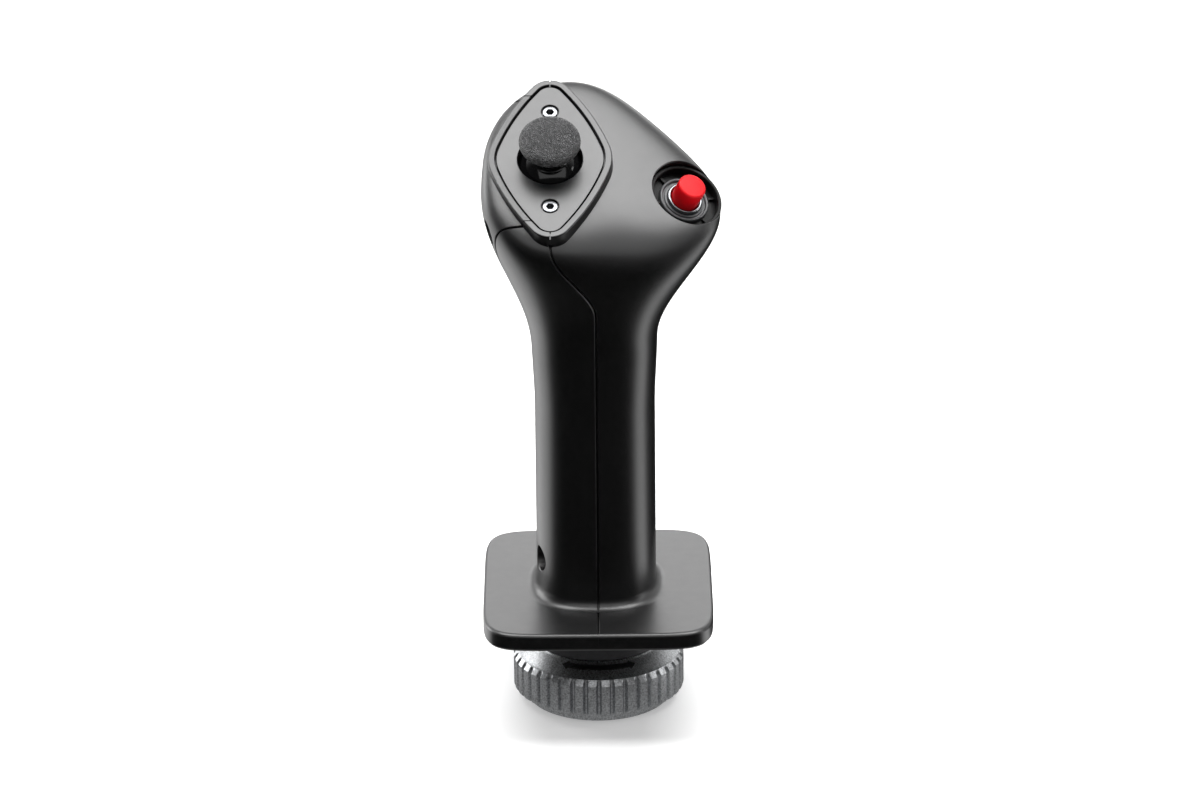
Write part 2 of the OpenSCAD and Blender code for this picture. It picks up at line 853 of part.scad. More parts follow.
module button_bushing() {
    bore = button_d / 2 + run;
    color("#77797d") button_frame() rotate_extrude($fn = 64) polygon([
        [bore, bushing_top - 0.3], [bore + 0.3, bushing_top], [bushing_r - 0.4, bushing_top],
        [bushing_r, bushing_top - 0.4], [bushing_r, bushing_end],
        [plunger_r + 1.6, bushing_end], [plunger_r + 1.6, bushing_end + 1], [bore, bushing_end + 1]
    ]);
}

module button_cap() {
    r = button_d / 2;
    edge = 0.7;
    color("#d5132a") button_frame() rotate_extrude($fn = 64) polygon(concat(
        [[0, button_foot], [r, button_foot]],
        [for (a = [0 : 15 : 90])
            [r - edge + edge * cos(a), button_rise - edge - 0.15 + edge * sin(a)]],
        [[0, button_rise]]
    ));
}

module button_plunger() {
    color("#d9d9d6") button_frame() translate([0, 0, bushing_end + button_travel + 0.3])
        cylinder(h = button_foot - bushing_end - button_travel - 0.3, r = plunger_r, $fn = 32);
}

module button_spring() {
    wire = 0.25;
    turns = 5;
    coil = 3.2;
    color("#b9bcc0") button_frame()
        for (i = [0 : turns - 1])
            translate([0, 0, bushing_end + 1 + wire + i * 2 * wire])
                rotate_extrude($fn = 48) translate([coil, 0]) circle(r = wire, $fn = 16);
}

module button_nut() {
    color("#77797d") button_frame()
        translate([0, 0, -pocket_depth - cup_floor - nut_t]) difference() {
            cylinder(h = nut_t, r = 7.6, $fn = 6);
            translate([0, 0, -1]) cylinder(h = nut_t + 2, r = bushing_r + seat, $fn = 48);
        }
}

module button_switch() {
    half = switch_w / 2;
    color("#19191b") button_frame() union() {
        block([-half, -half, bushing_end - switch_t], [half, half, bushing_end]);
        translate([0, 0, bushing_end - tiny])
            cylinder(h = 0.2, r = plunger_r + 1, $fn = 32);
    }
}

module button_terminals() {
    color("#c8b46a") button_frame() for (x = [-1, 1])
        block([x * terminal_x - 0.3, -1.2, bushing_end - switch_t - terminal_l],
              [x * terminal_x + 0.3, 1.2, bushing_end - switch_t]);
}

// ---------- trigger ----------

// Side outline of the trigger about its pin, in depth and height
function trigger_outline() = concat(
    [for (a = [250 : -25 : 0]) 3.4 * [cos(a), sin(a)]],
    [for (i = [0 : 10])
        let (t = i / 10) [7.2 + 4.8 * t - 5.5 * sin(180 * t) * 0.5, -3 - (trigger_l - 6) * t]],
    [[11.6, -trigger_l + 1.6], [10, -trigger_l], [2, -trigger_l], [1, -4.5]]
);

module trigger() {
    color("#26272a") translate([0, trigger_pin_y, trigger_pin_z]) difference() {
        rotate([90, 0, 90]) translate([0, 0, -trigger_w / 2])
            linear_extrude(trigger_w) polygon(trigger_outline());
        rod_x(-20, 20, 0, 0, trigger_pin_r + run);
        rod_x(trigger_w / 2 - 3, 20, 0, 0, 4.2);
    }
}

module trigger_pin() {
    end = ear_x + ear_t;
    color("#b9bcc0") rod_x(-end, end, trigger_pin_y, trigger_pin_z, trigger_pin_r);
}

module trigger_spring() {
    wire = 0.3;
    coil = trigger_pin_r + 0.5 + wire;
    x0 = trigger_w / 2 - 2.6;
    color("#b9bcc0") translate([0, trigger_pin_y, trigger_pin_z]) {
        for (i = [0 : 3])
            translate([x0 + wire + 2 * wire * i, 0, 0]) rotate([0, 90, 0])
                rotate_extrude($fn = 48) translate([coil, 0]) circle(r = wire, $fn = 16);
        translate([x0 + 7 * wire, coil - 9.5, coil]) rotate([-90, 0, 0])
            cylinder(h = 9.5 - coil, r = wire, $fn = 16);
    }
}

module trigger_bracket() {
    inner = ear_x;
    outer = inner + ear_t;
    low = trigger_pin_z - 24;
    high = trigger_pin_z + 1;
    ear_high = trigger_pin_z + 3.2;
    color("#6f7276") difference() {
        union() {
            block([-outer, bracket_y, low], [outer, bracket_y + bracket_t, high]);
            for (x = [-1, 1]) scale([x, 1, 1]) {
                block([inner, bracket_y, low], [outer, bracket_y + 6, high]);
                block([inner, bracket_y + 3, trigger_pin_z - 4], [outer, trigger_pin_y, ear_high]);
                rod_x(inner, outer, trigger_pin_y, trigger_pin_z, 3.2);
            }
        }
        rod_x(-20, 20, trigger_pin_y, trigger_pin_z, trigger_pin_r);
        for (z = bracket_screw_z) rod_x(0, 20, bracket_screw_y, z, small_screw_r + seat);
    }
}

module bracket_screws() {
    color("#9a9ca0") for (z = bracket_screw_z)
        translate([ear_x, bracket_screw_y, z]) rotate([0, -90, 0])
            cap_screw(small_head_r - 0.2, small_head_t, small_screw_r, 7);
}

module trigger_switch() {
    low = trigger_switch_z - 6;
    face = bracket_y + bracket_t;
    color("#17181a") difference() {
        block([-3.2, face, low], [3.2, face + 4.8, low + 10]);
        rod_y(face + 1, 30, 0, trigger_switch_z + 2.5, 1 + run);
    }
}

module trigger_switch_plunger() {
    y0 = bracket_y + bracket_t + 3;
    color("#b33a2b") rod_y(y0, trigger_pin_y + 1, 0, trigger_switch_z + 2.5, 1);
}

// ---------- electronics in the column ----------

module control_board() {
    color("#1d4a2c") difference() {
        block([board_x, -board_w / 2, board_z - board_l / 2],
              [board_x + board_t, board_w / 2, board_z + board_l / 2]);
        for (z = board_screw_z) rod_x(0, 20, board_screw_y, z, small_screw_r + seat);
    }
}

module board_screws() {
    color("#9a9ca0") for (z = board_screw_z)
        translate([board_x, board_screw_y, z]) rotate([0, -90, 0])
            cap_screw(small_head_r, small_head_t, small_screw_r, 6);
}

module board_chips() {
    color("#151517") {
        block([board_x - 1.2, -5, board_z - 5], [board_x, 5, board_z + 5]);
        block([board_x - 1, -9, board_z + 9], [board_x, -4, board_z + 13]);
        block([board_x - 1.4, -3, board_z - 14], [board_x, 1, board_z - 10]);
    }
}

module board_headers() {
    color("#e6e0cd") for (z = board_screw_z)
        block([board_x - 4, -5, z - 2], [board_x, 5, z + 2]);
}

// Flat cable along a path in X and Z, with a width in Y
module ribbon(path, y0, w, t) {
    translate([0, y0 + w, 0]) rotate([90, 0, 0]) linear_extrude(w) polygon(concat(
        [for (p = path) p - [t / 2, 0]],
        [for (i = [len(path) - 1 : -1 : 0]) path[i] + [t / 2, 0]]
    ));
}

module base_harness() {
    x = board_x - 2;
    top = board_screw_z[0] - 2;
    color("#8a1f1f") ribbon([
        [0, 26.2], [0, 34], [0.4, 40], [x - 0.6, top - 8], [x, top - 3], [x, top]
    ], -3, 6, 1.2);
}

module head_harness() {
    x = board_x - 2;
    low = board_screw_z[1] + 2;
    color("#2b4f9a") ribbon([
        [x, low], [x, low + 6], [x - 1.5, low + 12], [x - 9, low + 26],
        [x - 13, low + 33], [x - 13.5, low + 38]
    ], -7, 5, 1.2);
}

// ---------- coupling ----------

module mount_core() {
    low = shelf_z - 0.8;
    color("#3a3b3d") difference() {
        union() {
            translate([0, 0, low]) cylinder(h = ring_top + 0.2 - low, r = core_low_r, $fn = 72);
            translate([0, 0, ring_top + 0.2])
                cylinder(h = clamp_z + clamp_t - ring_top - 0.2, r = neck_d / 2, $fn = 72);
            translate([0, 0, clamp_z]) clamp_disc(clamp_r, clamp_t);
        }
        translate([0, 0, low + core_floor]) cylinder(h = 40, r = core_bore_r, $fn = 48);
        translate([0, 0, low - 1]) cylinder(h = 20, r = connector_d / 2 + seat, $fn = 48);
        for (a = [90 : 120 : 330])
            rotate([0, 0, a]) translate([retainer_circle, 0, low - 1])
                cylinder(h = 7, r = small_screw_r + run, $fn = 24);
    }
}

module ring_retainer() {
    top = shelf_z - 0.8;
    color("#8d9094") difference() {
        translate([0, 0, top - retainer_t]) cylinder(h = retainer_t, r = shelf_r - 0.4, $fn = 72);
        cylinder(h = 20, r = 9, $fn = 48);
        for (a = [90 : 120 : 330])
            rotate([0, 0, a]) translate([retainer_circle, 0, 0])
                cylinder(h = 20, r = small_screw_r + seat, $fn = 24);
    }
}

module retainer_screws() {
    color("#9a9ca0") for (a = [90 : 120 : 330])
        rotate([0, 0, a]) translate([retainer_circle, 0, shelf_z - 0.8 - retainer_t]) rotate([180, 0, 0])
            cap_screw(small_head_r, 1, small_screw_r, 5);
}

module wave_washer() {
    color("#c9cbce") translate([0, 0, shelf_z - 0.8]) difference() {
        cylinder(h = 0.65, r = shelf_r - 0.4, $fn = 72);
        translate([0, 0, -1]) cylinder(h = 3, r = core_low_r + 0.15, $fn = 72);
    }
}

module lock_ring() {
    r = ring_d / 2;
    root = r - 0.9;
    pitch = 360 / ring_flutes;
    knurl_top = lip_h + knurl_h;
    outline = [
        for (i = [0 : ring_flutes - 1])
            each [
                for (s = [[-0.34, r], [0.3, r], [0.42, root], [0.54, root]])
                    s[1] * [cos((i + s[0]) * pitch), sin((i + s[0]) * pitch)]
            ]
    ];
    color("#b8babd") difference() {
        union() {
            rotate_extrude($fn = 96) polygon([
                [thread_d / 2 - 0.5, 0], [r - 4.3, 0], [r - 3.7, 0.6], [r - 3.7, lip_h - 0.4],
                [root, lip_h], [root, knurl_top + 0.3], [r - 1.1, knurl_top + chamfer_h],
                [neck_d / 2 + 0.3, ring_top - 0.4], [neck_d / 2 - 0.1, ring_top],
                [thread_d / 2 - 0.5, ring_top]
            ]);
            intersection() {
                translate([0, 0, lip_h]) linear_extrude(knurl_h + chamfer_h) polygon(outline);
                rotate_extrude($fn = 96) polygon([
                    [15, lip_h], [r - 0.6, lip_h], [r + 0.1, lip_h + 0.7],
                    [r + 0.1, knurl_top], [r - 1.1, knurl_top + chamfer_h], [15, knurl_top + chamfer_h]
                ]);
            }
        }
        translate([0, 0, -1]) cylinder(h = thread_l + 1, r = thread_d / 2, $fn = 72);
        translate([0, 0, thread_l - tiny])
            cylinder(h = shelf_z - thread_l + tiny, r = shelf_r, $fn = 72);
        cylinder(h = 40, r = throat_r, $fn = 72);
    }
}

module connector_body() {
    r = connector_d / 2;
    low = thread_l + 0.4;
    floor_z = shelf_z - 0.8 + core_floor;
    color("#1a1a1c") difference() {
        union() {
            translate([0, 0, low]) cylinder(h = 22 - low, r = r, $fn = 48);
            translate([0, 0, floor_z]) cylinder(h = 2, r = r + 2.4, $fn = 48);
        }
        translate([0, 0, low - 1]) cylinder(h = 5, r = r - 1.3, $fn = 48);
        for (i = [0 : 4]) rotate([0, 0, 60 * i - 30]) translate([pin_circle, 0, 0])
            cylinder(h = 40, r = pin_r, $fn = 16);
    }
}

module connector_pins() {
    color("#d4b04c") for (i = [0 : 4])
        rotate([0, 0, 60 * i - 30]) translate([pin_circle, 0, thread_l + 1])
            cylinder(h = pin_l, r = pin_r, $fn = 16);
}

left_shell();
right_shell();
side_panel();
shell_screws();
thumb_plate();
thumb_plate_screws();
thumbstick_cap();
thumbstick_dome();
thumbstick_stem();
gimbal_housing();
gimbal_cradle();
gimbal_pivot();
gimbal_yoke();
tilt_sensor_x();
tilt_sensor_y();
centring_spring();
stick_board();
stick_board_screws();
button_cup();
button_collar();
button_bushing();
button_cap();
button_plunger();
button_spring();
button_nut();
button_switch();
button_terminals();
trigger();
trigger_pin();
trigger_spring();
trigger_bracket();
bracket_screws();
trigger_switch();
trigger_switch_plunger();
control_board();
board_chips();
board_headers();
board_screws();
base_harness();
head_harness();
mount_core();
ring_retainer();
retainer_screws();
wave_washer();
lock_ring();
connector_body();
connector_pins();
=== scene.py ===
"""Looks of a flight joystick grip with a thumbstick, a red push button and a knurled coupling ring.

Sizes are in millimetres until a mesh is made, +Z is up and the pilot sits on the -Y side. The smooth skin of
the grip is one formula, and the shells, the panel and their pockets are cut out of it as on the real mould.
"""

from __future__ import annotations

import json
import logging
import math
from collections.abc import Callable, Iterable, Sequence
from dataclasses import dataclass, field
from enum import Enum

import bmesh
import bpy
import numpy as np
from mathutils import Matrix, Vector


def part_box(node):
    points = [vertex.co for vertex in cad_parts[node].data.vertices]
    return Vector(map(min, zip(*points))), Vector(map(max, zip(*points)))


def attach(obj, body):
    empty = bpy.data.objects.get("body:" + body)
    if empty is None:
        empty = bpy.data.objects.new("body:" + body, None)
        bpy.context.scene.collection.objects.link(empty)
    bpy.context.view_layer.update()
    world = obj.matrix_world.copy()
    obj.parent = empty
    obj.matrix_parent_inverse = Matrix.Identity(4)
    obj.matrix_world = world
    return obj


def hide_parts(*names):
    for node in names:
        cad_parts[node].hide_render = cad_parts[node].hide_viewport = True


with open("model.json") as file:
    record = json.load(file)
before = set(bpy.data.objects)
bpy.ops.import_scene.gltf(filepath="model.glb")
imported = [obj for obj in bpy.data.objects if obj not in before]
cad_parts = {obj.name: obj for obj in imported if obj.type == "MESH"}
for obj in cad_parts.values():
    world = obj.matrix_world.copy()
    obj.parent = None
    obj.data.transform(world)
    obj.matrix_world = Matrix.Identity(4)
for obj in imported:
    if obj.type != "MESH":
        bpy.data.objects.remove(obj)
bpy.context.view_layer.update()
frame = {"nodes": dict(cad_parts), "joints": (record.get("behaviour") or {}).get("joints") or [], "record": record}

Object = bpy.types.Object
Socket = bpy.types.NodeSocket
Place = tuple[float, float, float]

LOG = logging.getLogger("grip")
MM = 0.001
UP = Vector((0, 0, 1))
TINY = 1e-9


# ---------- curves and outlines ----------


def rise(z: np.ndarray, a: float, b: float) -> np.ndarray:
    """Smooth step from 0 at a to 1 at b: 3t^2 - 2t^3 of the share t of the way."""
    t = np.clip((z - a) / (b - a), 0, 1)
    return t * t * (3 - 2 * t)


def blend_max(a: np.ndarray, b: np.ndarray, k: float | np.ndarray) -> np.ndarray:
    """Larger of two values, blended over a width of k by a hyperbola."""
    return (a + b + np.sqrt((a - b) ** 2 + k * k)) / 2


def circle(count: int, radius: float, height: float) -> np.ndarray:
    """Ring of points around Z, radius * (cos a, sin a), at one height."""
    a = 2 * np.pi * np.arange(count) / count
    return np.stack([radius * np.cos(a), radius * np.sin(a), np.zeros(count) + height], 1)


def superellipse(count: int, half_x: float, half_y: float, power: float) -> np.ndarray:
    """Ring with |x/a|^p + |y/b|^p = 1, from (a |cos t|^(2/p), b |sin t|^(2/p)), as rows of x and y."""
    a = 2 * np.pi * (np.arange(count) + 0.5) / count
    c, s = np.cos(a), np.sin(a)
    x = half_x * np.sign(c) * np.abs(c) ** (2 / power)
    y = half_y * np.sign(s) * np.abs(s) ** (2 / power)
    return np.stack([x, y], 1)


def arc(centre: Sequence[float], radius: float, start: float, end: float, steps: int) -> np.ndarray:
    """Points of an arc in a plane, from one angle to another in degrees."""
    a = np.radians(np.linspace(start, end, steps + 1))
    return np.stack([centre[0] + radius * np.cos(a), centre[1] + radius * np.sin(a)], 1)


def level(outline: np.ndarray, z: float) -> np.ndarray:
    """Give rows of x and y one height."""
    return np.column_stack([outline, np.full(len(outline), z)])


def place(points: np.ndarray, where: Matrix) -> np.ndarray:
    """Carry points by a 4 x 4 matrix."""
    m = np.array(where)
    return points @ m[:3, :3].T + m[:3, 3]


def along_z(where: Matrix) -> np.ndarray:
    """A frame's own Z direction."""
    return np.array(where.to_3x3() @ UP)


def last_inside(inside: Callable[[np.ndarray], np.ndarray], shape: tuple[int, ...], far: float) -> np.ndarray:
    """Largest distances that are still inside, by 26 halvings.

    Args:
        inside: tells for an array of distances which are inside.
        shape: the array's shape.
        far: a distance that is surely outside.

    Returns:
        The distances.
    """
    low, high = np.zeros(shape), np.full(shape, far)
    for _ in range(26):
        mid = (low + high) / 2
        within = inside(mid)
        low, high = np.where(within, mid, low), np.where(within, high, mid)
    return low


# ---------- solids ----------


def quads(rings: int, count: int, closed: bool = False) -> list:
    """Faces between neighbouring rings of a grid of points, and from the last back to the first if closed."""
    i = np.arange(count)
    j = (i + 1) % count
    row = np.arange(rings if closed else rings - 1)[:, None]
    after = (row + 1) % rings
    corners = [row * count + i, row * count + j, after * count + j, after * count + i]
    return np.stack(np.broadcast_arrays(*corners), 2).reshape(-1, 4).tolist()


def new_object(name: str, points: np.ndarray, faces: list) -> Object:
    """Make and link a mesh object from rows of millimetre points and lists of indices into them."""
    mesh = bpy.data.meshes.new(name)
    mesh.from_pydata((points * MM).tolist(), [], faces)
    mesh.update()
    obj = bpy.data.objects.new(name, mesh)
    bpy.context.scene.collection.objects.link(obj)
    return obj


def new_solid(name: str, points: np.ndarray, faces: list) -> Object:
    """Make a closed mesh object with its faces turned outwards."""
    obj = new_object(name, points, faces)
    work = bmesh.new()
    work.from_mesh(obj.data)
    bmesh.ops.recalc_face_normals(work, faces=work.faces)
    work.to_mesh(obj.data)
    work.free()
    return obj


def loft(name: str, rings: Sequence[np.ndarray], where: Matrix = Matrix(), pole: bool = False) -> Object:
    """Closed solid through stacked rings of points.

    Args:
        name: the object's name.
        rings: rings with the same number of points, each going round the same way.
        where: the frame that carries them.
        pole: whether the last ring shrinks to one point instead of ending in a flat cap.

    Returns:
        The solid.
    """
    rings = place(np.stack(rings), where)
    levels, count = rings.shape[:2]
    i = np.arange(count)
    points = rings.reshape(-1, 3)
    faces = quads(levels, count) + [i[::-1].tolist()]
    top = (levels - 1) * count
    if pole:
        points = np.vstack([points, rings[-1].mean(0)])
        faces += np.stack([top + i, top + (i + 1) % count, np.full(count, len(points) - 1)], 1).tolist()
    else:
        faces.append((top + i).tolist())
    return new_solid(name, points, faces)


def lathe(name: str, profile: Sequence, where: Matrix, count: int = 128) -> Object:
    """Closed solid of revolution around Z, from a profile of radius and height.

    Args:
        name: the object's name.
        profile: rows of radius and height. A first or last radius of 0 closes the solid on its axis, and
            without them the profile is a loop, as of a ring or tube.
        where: the frame that carries it.
        count: how many steps go round.

    Returns:
        The solid.
    """
    profile = np.array(profile, float)
    starts, ends = profile[[0, -1], 0] < TINY
    rows = profile[int(starts) : len(profile) - int(ends)]
    points = np.concatenate([circle(count, r, z) for r, z in rows])
    faces = quads(len(rows), count, closed=not (starts or ends))
    i = np.arange(count)
    j = (i + 1) % count
    last = (len(rows) - 1) * count
    for closed, height, edge in ((starts, profile[0, 1], (j, i)), (ends, profile[-1, 1], (last + i, last + j))):
        if closed:
            points = np.vstack([points, [0, 0, height]])
            faces += np.stack([*edge, np.full(count, len(points) - 1)], 1).tolist()
    return new_solid(name, place(points, where), faces)


def sweep(name: str, path: np.ndarray, outward: np.ndarray, profile: Sequence, closed: bool = False) -> Object:
    """Carry a closed profile along a path.

    Each point of the profile is path + across * b + up * n, with n the outward direction at the path's point
    and b square to n and to the path.

    Args:
        name: the object's name.
        path: rows of points.
        outward: a direction for each of them.
        profile: rows of across and up.
        closed: whether the path's end meets its start.

    Returns:
        The swept solid.
    """
    profile = np.array(profile, float)
    along = np.roll(path, -1, 0) - np.roll(path, 1, 0) if closed else np.gradient(path, axis=0)
    along /= np.linalg.norm(along, axis=1, keepdims=True)
    side = np.cross(along, outward)
    side /= np.linalg.norm(side, axis=1, keepdims=True)
    up = np.cross(side, along)
    rings = path[:, None] + side[:, None] * profile[None, :, :1] + up[:, None] * profile[None, :, 1:]
    levels, count = rings.shape[:2]
    faces = quads(levels, count, closed)
    if not closed:
        i = np.arange(count)
        faces += [i[::-1].tolist(), ((levels - 1) * count + i).tolist()]
    return new_solid(name, rings.reshape(-1, 3), faces)


def rod(name: str, start: Place, end: Place, radius: float, count: int = 48) -> Object:
    """Plain cylinder between two points."""
    way = Vector(end) - Vector(start)
    where = Matrix.Translation(start) @ way.to_track_quat("Z", "Y").to_matrix().to_4x4()
    return loft(name, [circle(count, radius, 0), circle(count, radius, way.length)], where)


def box(name: str, low: Place, high: Place, where: Matrix = Matrix()) -> Object:
    """Box from one corner to the other, carried by a frame."""
    (x0, y0, z0), (x1, y1, z1) = low, high
    ring = np.array([[x0, y0], [x1, y0], [x1, y1], [x0, y1]], float)
    return loft(name, [level(ring, z0), level(ring, z1)], where)


# ---------- changes to a mesh ----------


class Cut(Enum):
    """How two solids are combined."""

    JOIN = "UNION"
    TAKE_AWAY = "DIFFERENCE"
    KEEP_COMMON = "INTERSECT"


def apply_modifiers(obj: Object) -> None:
    """Replace a mesh by its evaluated one and drop the modifiers."""
    graph = bpy.context.evaluated_depsgraph_get()
    mesh = bpy.data.meshes.new_from_object(obj.evaluated_get(graph))
    obj.modifiers.clear()
    old, obj.data = obj.data, mesh
    bpy.data.meshes.remove(old)


def combine(target: Object, how: Cut, tools: Iterable[Object]) -> Object:
    """Combine a solid with others, one after the other and in place.

    Args:
        target: the solid that is changed.
        how: whether they are joined, cut or intersected.
        tools: the other solids, which are removed afterwards.

    Returns:
        The changed solid.
    """
    for tool in tools:
        modifier = target.modifiers.new("cut", "BOOLEAN")
        modifier.operation = how.value
        modifier.solver = "MANIFOLD"
        modifier.object = tool
        apply_modifiers(target)
        bpy.data.objects.remove(tool)
    return target


def duplicate(obj: Object, name: str) -> Object:
    """Copy an object with its mesh."""
    twin = bpy.data.objects.new(name, obj.data.copy())
    bpy.context.scene.collection.objects.link(twin)
    return twin


def smooth(obj: Object, angle: float, flats: bool) -> None:
    """Shade a mesh smooth, and keep an edge sharp where its faces turn by more than an angle in degrees.

    Args:
        obj: the object.
        angle: the sharpest turn that is still shaded smooth.
        flats: weigh normals by face area, so that large flat faces stay flat next to fine edges.
    """
    obj.data.shade_smooth()
    obj.data.set_sharp_from_angle(angle=math.radians(angle))
    if flats:
        obj.modifiers.new("flats", "WEIGHTED_NORMAL").keep_sharp = True
        apply_modifiers(obj)


def bevel(obj: Object, width: float, segments: int, angle: float) -> None:
    """Round the sharp edges of a mesh, in place.

    Args:
        obj: the object.
        width: how wide the round is, in millimetres.
        segments: how many faces it has across.
        angle: the least turn in degrees of an edge that is rounded.
    """
    modifier = obj.modifiers.new("bevel", "BEVEL")
    modifier.width = width * MM
    modifier.segments = segments
    modifier.limit_method = "ANGLE"
    modifier.angle_limit = math.radians(angle)
    modifier.harden_normals = False
    apply_modifiers(obj)


def merge(obj: Object) -> None:
    """Merge a copied CAD mesh's doubles and dissolve its flat faces' inner edges."""
    work = bmesh.new()
    work.from_mesh(obj.data)
    bmesh.ops.remove_doubles(work, verts=work.verts, dist=1e-6)
    bmesh.ops.dissolve_limit(work, angle_limit=math.radians(1), verts=work.verts, edges=work.edges)
    work.to_mesh(obj.data)
    work.free()


def drop_crumbs(obj: Object, smallest: int = 200) -> None:
    """Remove the first small loose shell of a mesh, which a cut can leave behind.

    Args:
        obj: the object.
        smallest: how many faces a shell has at least that stays.
    """
    work = bmesh.new()
    work.from_mesh(obj.data)
    seen: set = set()
    for first in work.faces:
        if first in seen:
            continue
        group, queue = [], [first]
        seen.add(first)
        while queue:
            face = queue.pop()
            group.append(face)
            for other in {near for edge in face.edges for near in edge.link_faces} - seen:
                seen.add(other)
                queue.append(other)
        if len(group) < smallest:
            bmesh.ops.delete(work, geom=group, context="FACES")
            break
    work.to_mesh(obj.data)
    work.free()
    obj.data.validate()


# ---------- finishes ----------


class Nodes:
    """The nodes of a material or world."""

    def __init__(self, owner: bpy.types.Material | bpy.types.World) -> None:
        """Start with an empty tree."""
        owner.use_nodes = True
        self.tree = owner.node_tree
        self.tree.nodes.clear()

    def add(self, kind: str, *inputs: object, **settings: object) -> bpy.types.Node:
        """Add a node with its settings and links.

        Args:
            kind: the node's type, without its prefix.
            inputs: for input sockets in their order, a value or what to link from.
            settings: property values, and for input sockets by name a value or what to link from.

        Returns:
            The new node.
        """
        node = self.tree.nodes.new("ShaderNode" + kind)
        for key, value in settings.items():
            if hasattr(node, key):
                setattr(node, key, value)
        for socket, value in zip(node.inputs, inputs):
            self.feed(socket, value)
        for key, value in settings.items():
            if key in node.inputs:
                self.feed(node.inputs[key], value)
        return node

    def feed(self, socket: Socket, value: object) -> None:
        """Set an input, or link it to another socket or to the output that a node has in use."""
        if isinstance(value, bpy.types.Node):
            value = next(out for out in value.outputs if out.enabled)
        if isinstance(value, Socket):
            self.tree.links.new(value, socket)
        else:
            socket.default_value = value


def per_mm(size: float) -> float:
    """Texture scale whose blobs are about a size in millimetres across."""
    return 1 / (size * MM)


def linear(hex_colour: str) -> np.ndarray:
    """Turn an sRGB hex colour with a hash sign into linear red, green and blue."""
    parts = [int(hex_colour[i : i + 2], 16) / 255 for i in (1, 3, 5)]
    return np.array([v / 12.92 if v <= 0.04045 else ((v + 0.055) / 1.055) ** 2.4 for v in parts])


@dataclass(frozen=True)
class Finish:
    """A material and how its surface was made.

    Lengths are in millimetres: grain is the size of the surface's texture, and depth how far it stands up. Tone,
    unevenness and speckle are how much the colour, the roughness and the grain's own colour vary.
    """

    name: str
    colour: str
    roughness: float
    metallic: float = 0.0
    ior: float = 1.5
    grain: float = 0.35
    depth: float = 0.01
    unevenness: float = 0.06
    tone: float = 0.1
    speckle: float = 0.0

    def build(self) -> bpy.types.Material:
        """Make the nodes: a base colour and roughness that vary a little, and the grain as a bump."""
        material = bpy.data.materials.new(self.name)
        nodes = Nodes(material)
        where = nodes.add("TexCoord").outputs["Object"]
        base = linear(self.colour)
        low, high = base * (1 - self.tone), np.minimum(base * (1 + self.tone), 1)
        clouds = nodes.add("TexNoise", Vector=where, Scale=per_mm(9.0), Detail=3.0)
        colours = nodes.add("Mix", data_type="RGBA", Factor=clouds, A=(*low, 1), B=(*high, 1))
        spots = nodes.add("TexNoise", Vector=where, Scale=per_mm(2.5), Detail=2.0)
        spread = (self.roughness - self.unevenness, self.roughness + self.unevenness)
        inputs = {
            "Metallic": self.metallic,
            "Base Color": self.mottle(nodes, where, colours),
            "Roughness": nodes.add("MapRange", spots, 0, 1, *spread),
            "Normal": self.relief(nodes, where),
        }
        if not self.metallic:
            inputs["IOR"] = self.ior
        nodes.add("OutputMaterial", Surface=nodes.add("BsdfPrincipled", **inputs))
        return material

    def mottle(self, nodes: Nodes, where: Socket, colour: bpy.types.Node) -> bpy.types.Node:
        """The base colour with the fine light and dark speckle of a grained surface, where it has one."""
        if not self.speckle:
            return colour
        blobs = nodes.add("TexNoise", Vector=where, Scale=per_mm(self.grain * 1.6), Detail=1.0)
        share = nodes.add("MapRange", blobs, 0.3, 0.7, 1 - self.speckle, 1 + self.speckle)
        return nodes.add("VectorMath", colour, operation="SCALE", Scale=share)

    def relief(self, nodes: Nodes, where: Socket) -> bpy.types.Node:
        """The surface's grain as a bump."""
        grain = nodes.add("TexNoise", Vector=where, Scale=per_mm(self.grain), Detail=2.0)
        return nodes.add("Bump", Height=grain, Distance=self.depth * MM)


@dataclass(frozen=True)
class Pebbled(Finish):
    """Rubber moulded against a leather-grained tool: rounded cells with fine creases between them."""

    def relief(self, nodes: Nodes, where: Socket) -> bpy.types.Node:
        """Cells of a Voronoi pattern, low at their borders, over the fine grain."""
        cells = nodes.add("TexVoronoi", feature="DISTANCE_TO_EDGE", Vector=where, Scale=per_mm(self.grain))
        crease = nodes.add("MapRange", cells.outputs["Distance"], 0, 0.25, 0, 1)
        fine = super().relief(nodes, where)
        return nodes.add("Bump", Height=crease, Distance=self.depth * 3 * MM, Normal=fine)


@dataclass(frozen=True)
class Turned(Finish):
    """Metal from a lathe: fine rings around the part's axis under a bead-blasted skin."""

    pitch: float = 0.25

    def relief(self, nodes: Nodes, where: Socket) -> bpy.types.Node:
        """Noise drawn out around Z, so that it reads as tool marks, over the blasted grain."""
        split = nodes.add("SeparateXYZ", where).outputs
        flat = nodes.add("CombineXYZ", X=split["X"], Y=split["Y"])
        radius = nodes.add("VectorMath", flat, operation="LENGTH")
        line = nodes.add("CombineXYZ", X=radius, Z=split["Z"])
        marks = nodes.add("TexNoise", Vector=line, Scale=per_mm(self.pitch), Detail=1.0)
        fine = super().relief(nodes, where)
        return nodes.add("Bump", Height=marks, Distance=self.depth * 0.5 * MM, Normal=fine)


METAL = {"metallic": 1.0}


